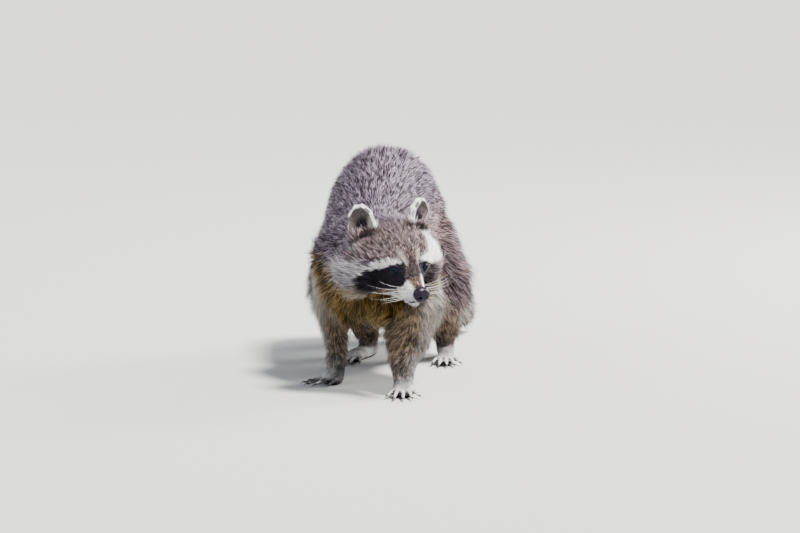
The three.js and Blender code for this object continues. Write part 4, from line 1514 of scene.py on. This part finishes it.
# ---- Light, floor and camera ----

CAMERA_TURN = math.radians(5)  # from straight in front, towards the animal's left
CAMERA_TILT = math.radians(8)
CAMERA_DISTANCE = 4.3705  # from the middle between the eyes
LENS = 147.8  # millimetres, on a 36 mm sensor
AIM_RIGHT = -11.4 * MM  # how far the view's middle lies from between the eyes
AIM_UP = 2.6 * MM
LIT_PLACE = Vector((0, -0.1, 0.15))  # where the lights point


def make_camera():
    level = math.cos(CAMERA_TILT)
    back = Vector((math.sin(CAMERA_TURN) * level, -math.cos(CAMERA_TURN) * level, math.sin(CAMERA_TILT)))
    right = Vector((math.cos(CAMERA_TURN), math.sin(CAMERA_TURN), 0))
    up = back.cross(right)
    camera = bpy.data.objects.new("camera", bpy.data.cameras.new("camera"))
    bpy.context.scene.collection.objects.link(camera)
    camera.data.sensor_width = 36
    camera.data.lens = LENS
    camera.data.clip_start = 0.1
    turn = Matrix((right, up, back)).transposed().to_4x4()
    place = Vector(BROW) + CAMERA_DISTANCE * back + AIM_RIGHT * right + AIM_UP * up
    camera.matrix_world = Matrix.Translation(place) @ turn
    bpy.context.scene.camera = camera


def make_light(name, kind, place, strength, colour, **settings):
    light = bpy.data.lights.new(name, kind)
    light.energy = strength
    light.color = colour
    for key, value in settings.items():
        setattr(light, key, value)
    lamp = bpy.data.objects.new(name, light)
    bpy.context.scene.collection.objects.link(lamp)
    turn = (LIT_PLACE - Vector(place)).to_track_quat("-Z", "Y").to_matrix().to_4x4()
    lamp.matrix_world = Matrix.Translation(Vector(place)) @ turn


def make_stage():
    bm = bmesh.new()
    bmesh.ops.create_grid(bm, x_segments=1, y_segments=1, size=30)
    floor_mesh = bpy.data.meshes.new("floor")
    bm.to_mesh(floor_mesh)
    bm.free()
    floor = bpy.data.objects.new("floor", floor_mesh)
    bpy.context.scene.collection.objects.link(floor)
    floor_mesh.materials.append(plain_material("pale_paper", (0.42, 0.42, 0.415, 1), 0.9)[0])
    world = bpy.data.worlds.new("soft_light")
    world.use_nodes = True
    sky = world.node_tree.nodes["Background"]
    sky.inputs["Color"].default_value = (0.9, 0.94, 1.0, 1)
    sky.inputs["Strength"].default_value = 0.75
    bpy.context.scene.world = world
    make_light("key", "SUN", (1.2, -0.7, 2.6), 14.0, (1.0, 0.97, 0.93), angle=math.radians(12))
    make_light("fill", "AREA", (-2.6, -1.5, 2.2), 34, (0.92, 0.95, 1.0), shape="DISK", size=1.0)
    make_light("rim", "AREA", (2.0, 1.3, 1.3), 130, (1.0, 0.97, 0.93), shape="DISK", size=0.9)


# ---- The whole animal ----

make_camera()
make_stage()
hair, pebbles = make_hair_group(), make_pebble_group()
skin_mesh, skin, owner, depth = make_skin()
skin_normals = skin.normals()
place_on_skin = unwrapped(skin_mesh)
fur = make_fur_material("coat", hair, False)
make_coat(skin, skin_normals, owner, depth, place_on_skin, fur)
skin_marks = markings(skin.points, skin_normals, owner, hollows(skin, skin_normals))
set_attribute(skin_mesh, "marks", "FLOAT_COLOR", skin_marks)
new_piece("skin", skin_mesh, make_fur_material("skin", hair, True), FLESH)
skin_tree = BVHTree.FromPolygons([Vector(point) for point in skin.points], skin.triangles.tolist())

lid_skin, eyeball = make_lid_material(pebbles), make_eye_material()
for side in EYES:
    outlook = eye_outlook(side, skin, owner, skin_normals)
    make_eye(side, outlook, eyeball)
    make_lids(side, outlook, lid_skin)
    make_lid_fur(side, outlook, skin_tree, skin.triangles, place_on_skin, fur)
make_nose(make_nose_material(pebbles))
make_whiskers(skin_tree, make_whisker_material())
horn = make_claw_material()
for side in ("left", "right"):
    make_claws(f"forepaw_{side}", f"foreclaw_{side}", horn)
    make_claws(f"hind_foot_{side}", f"hind_claw_{side}", horn)
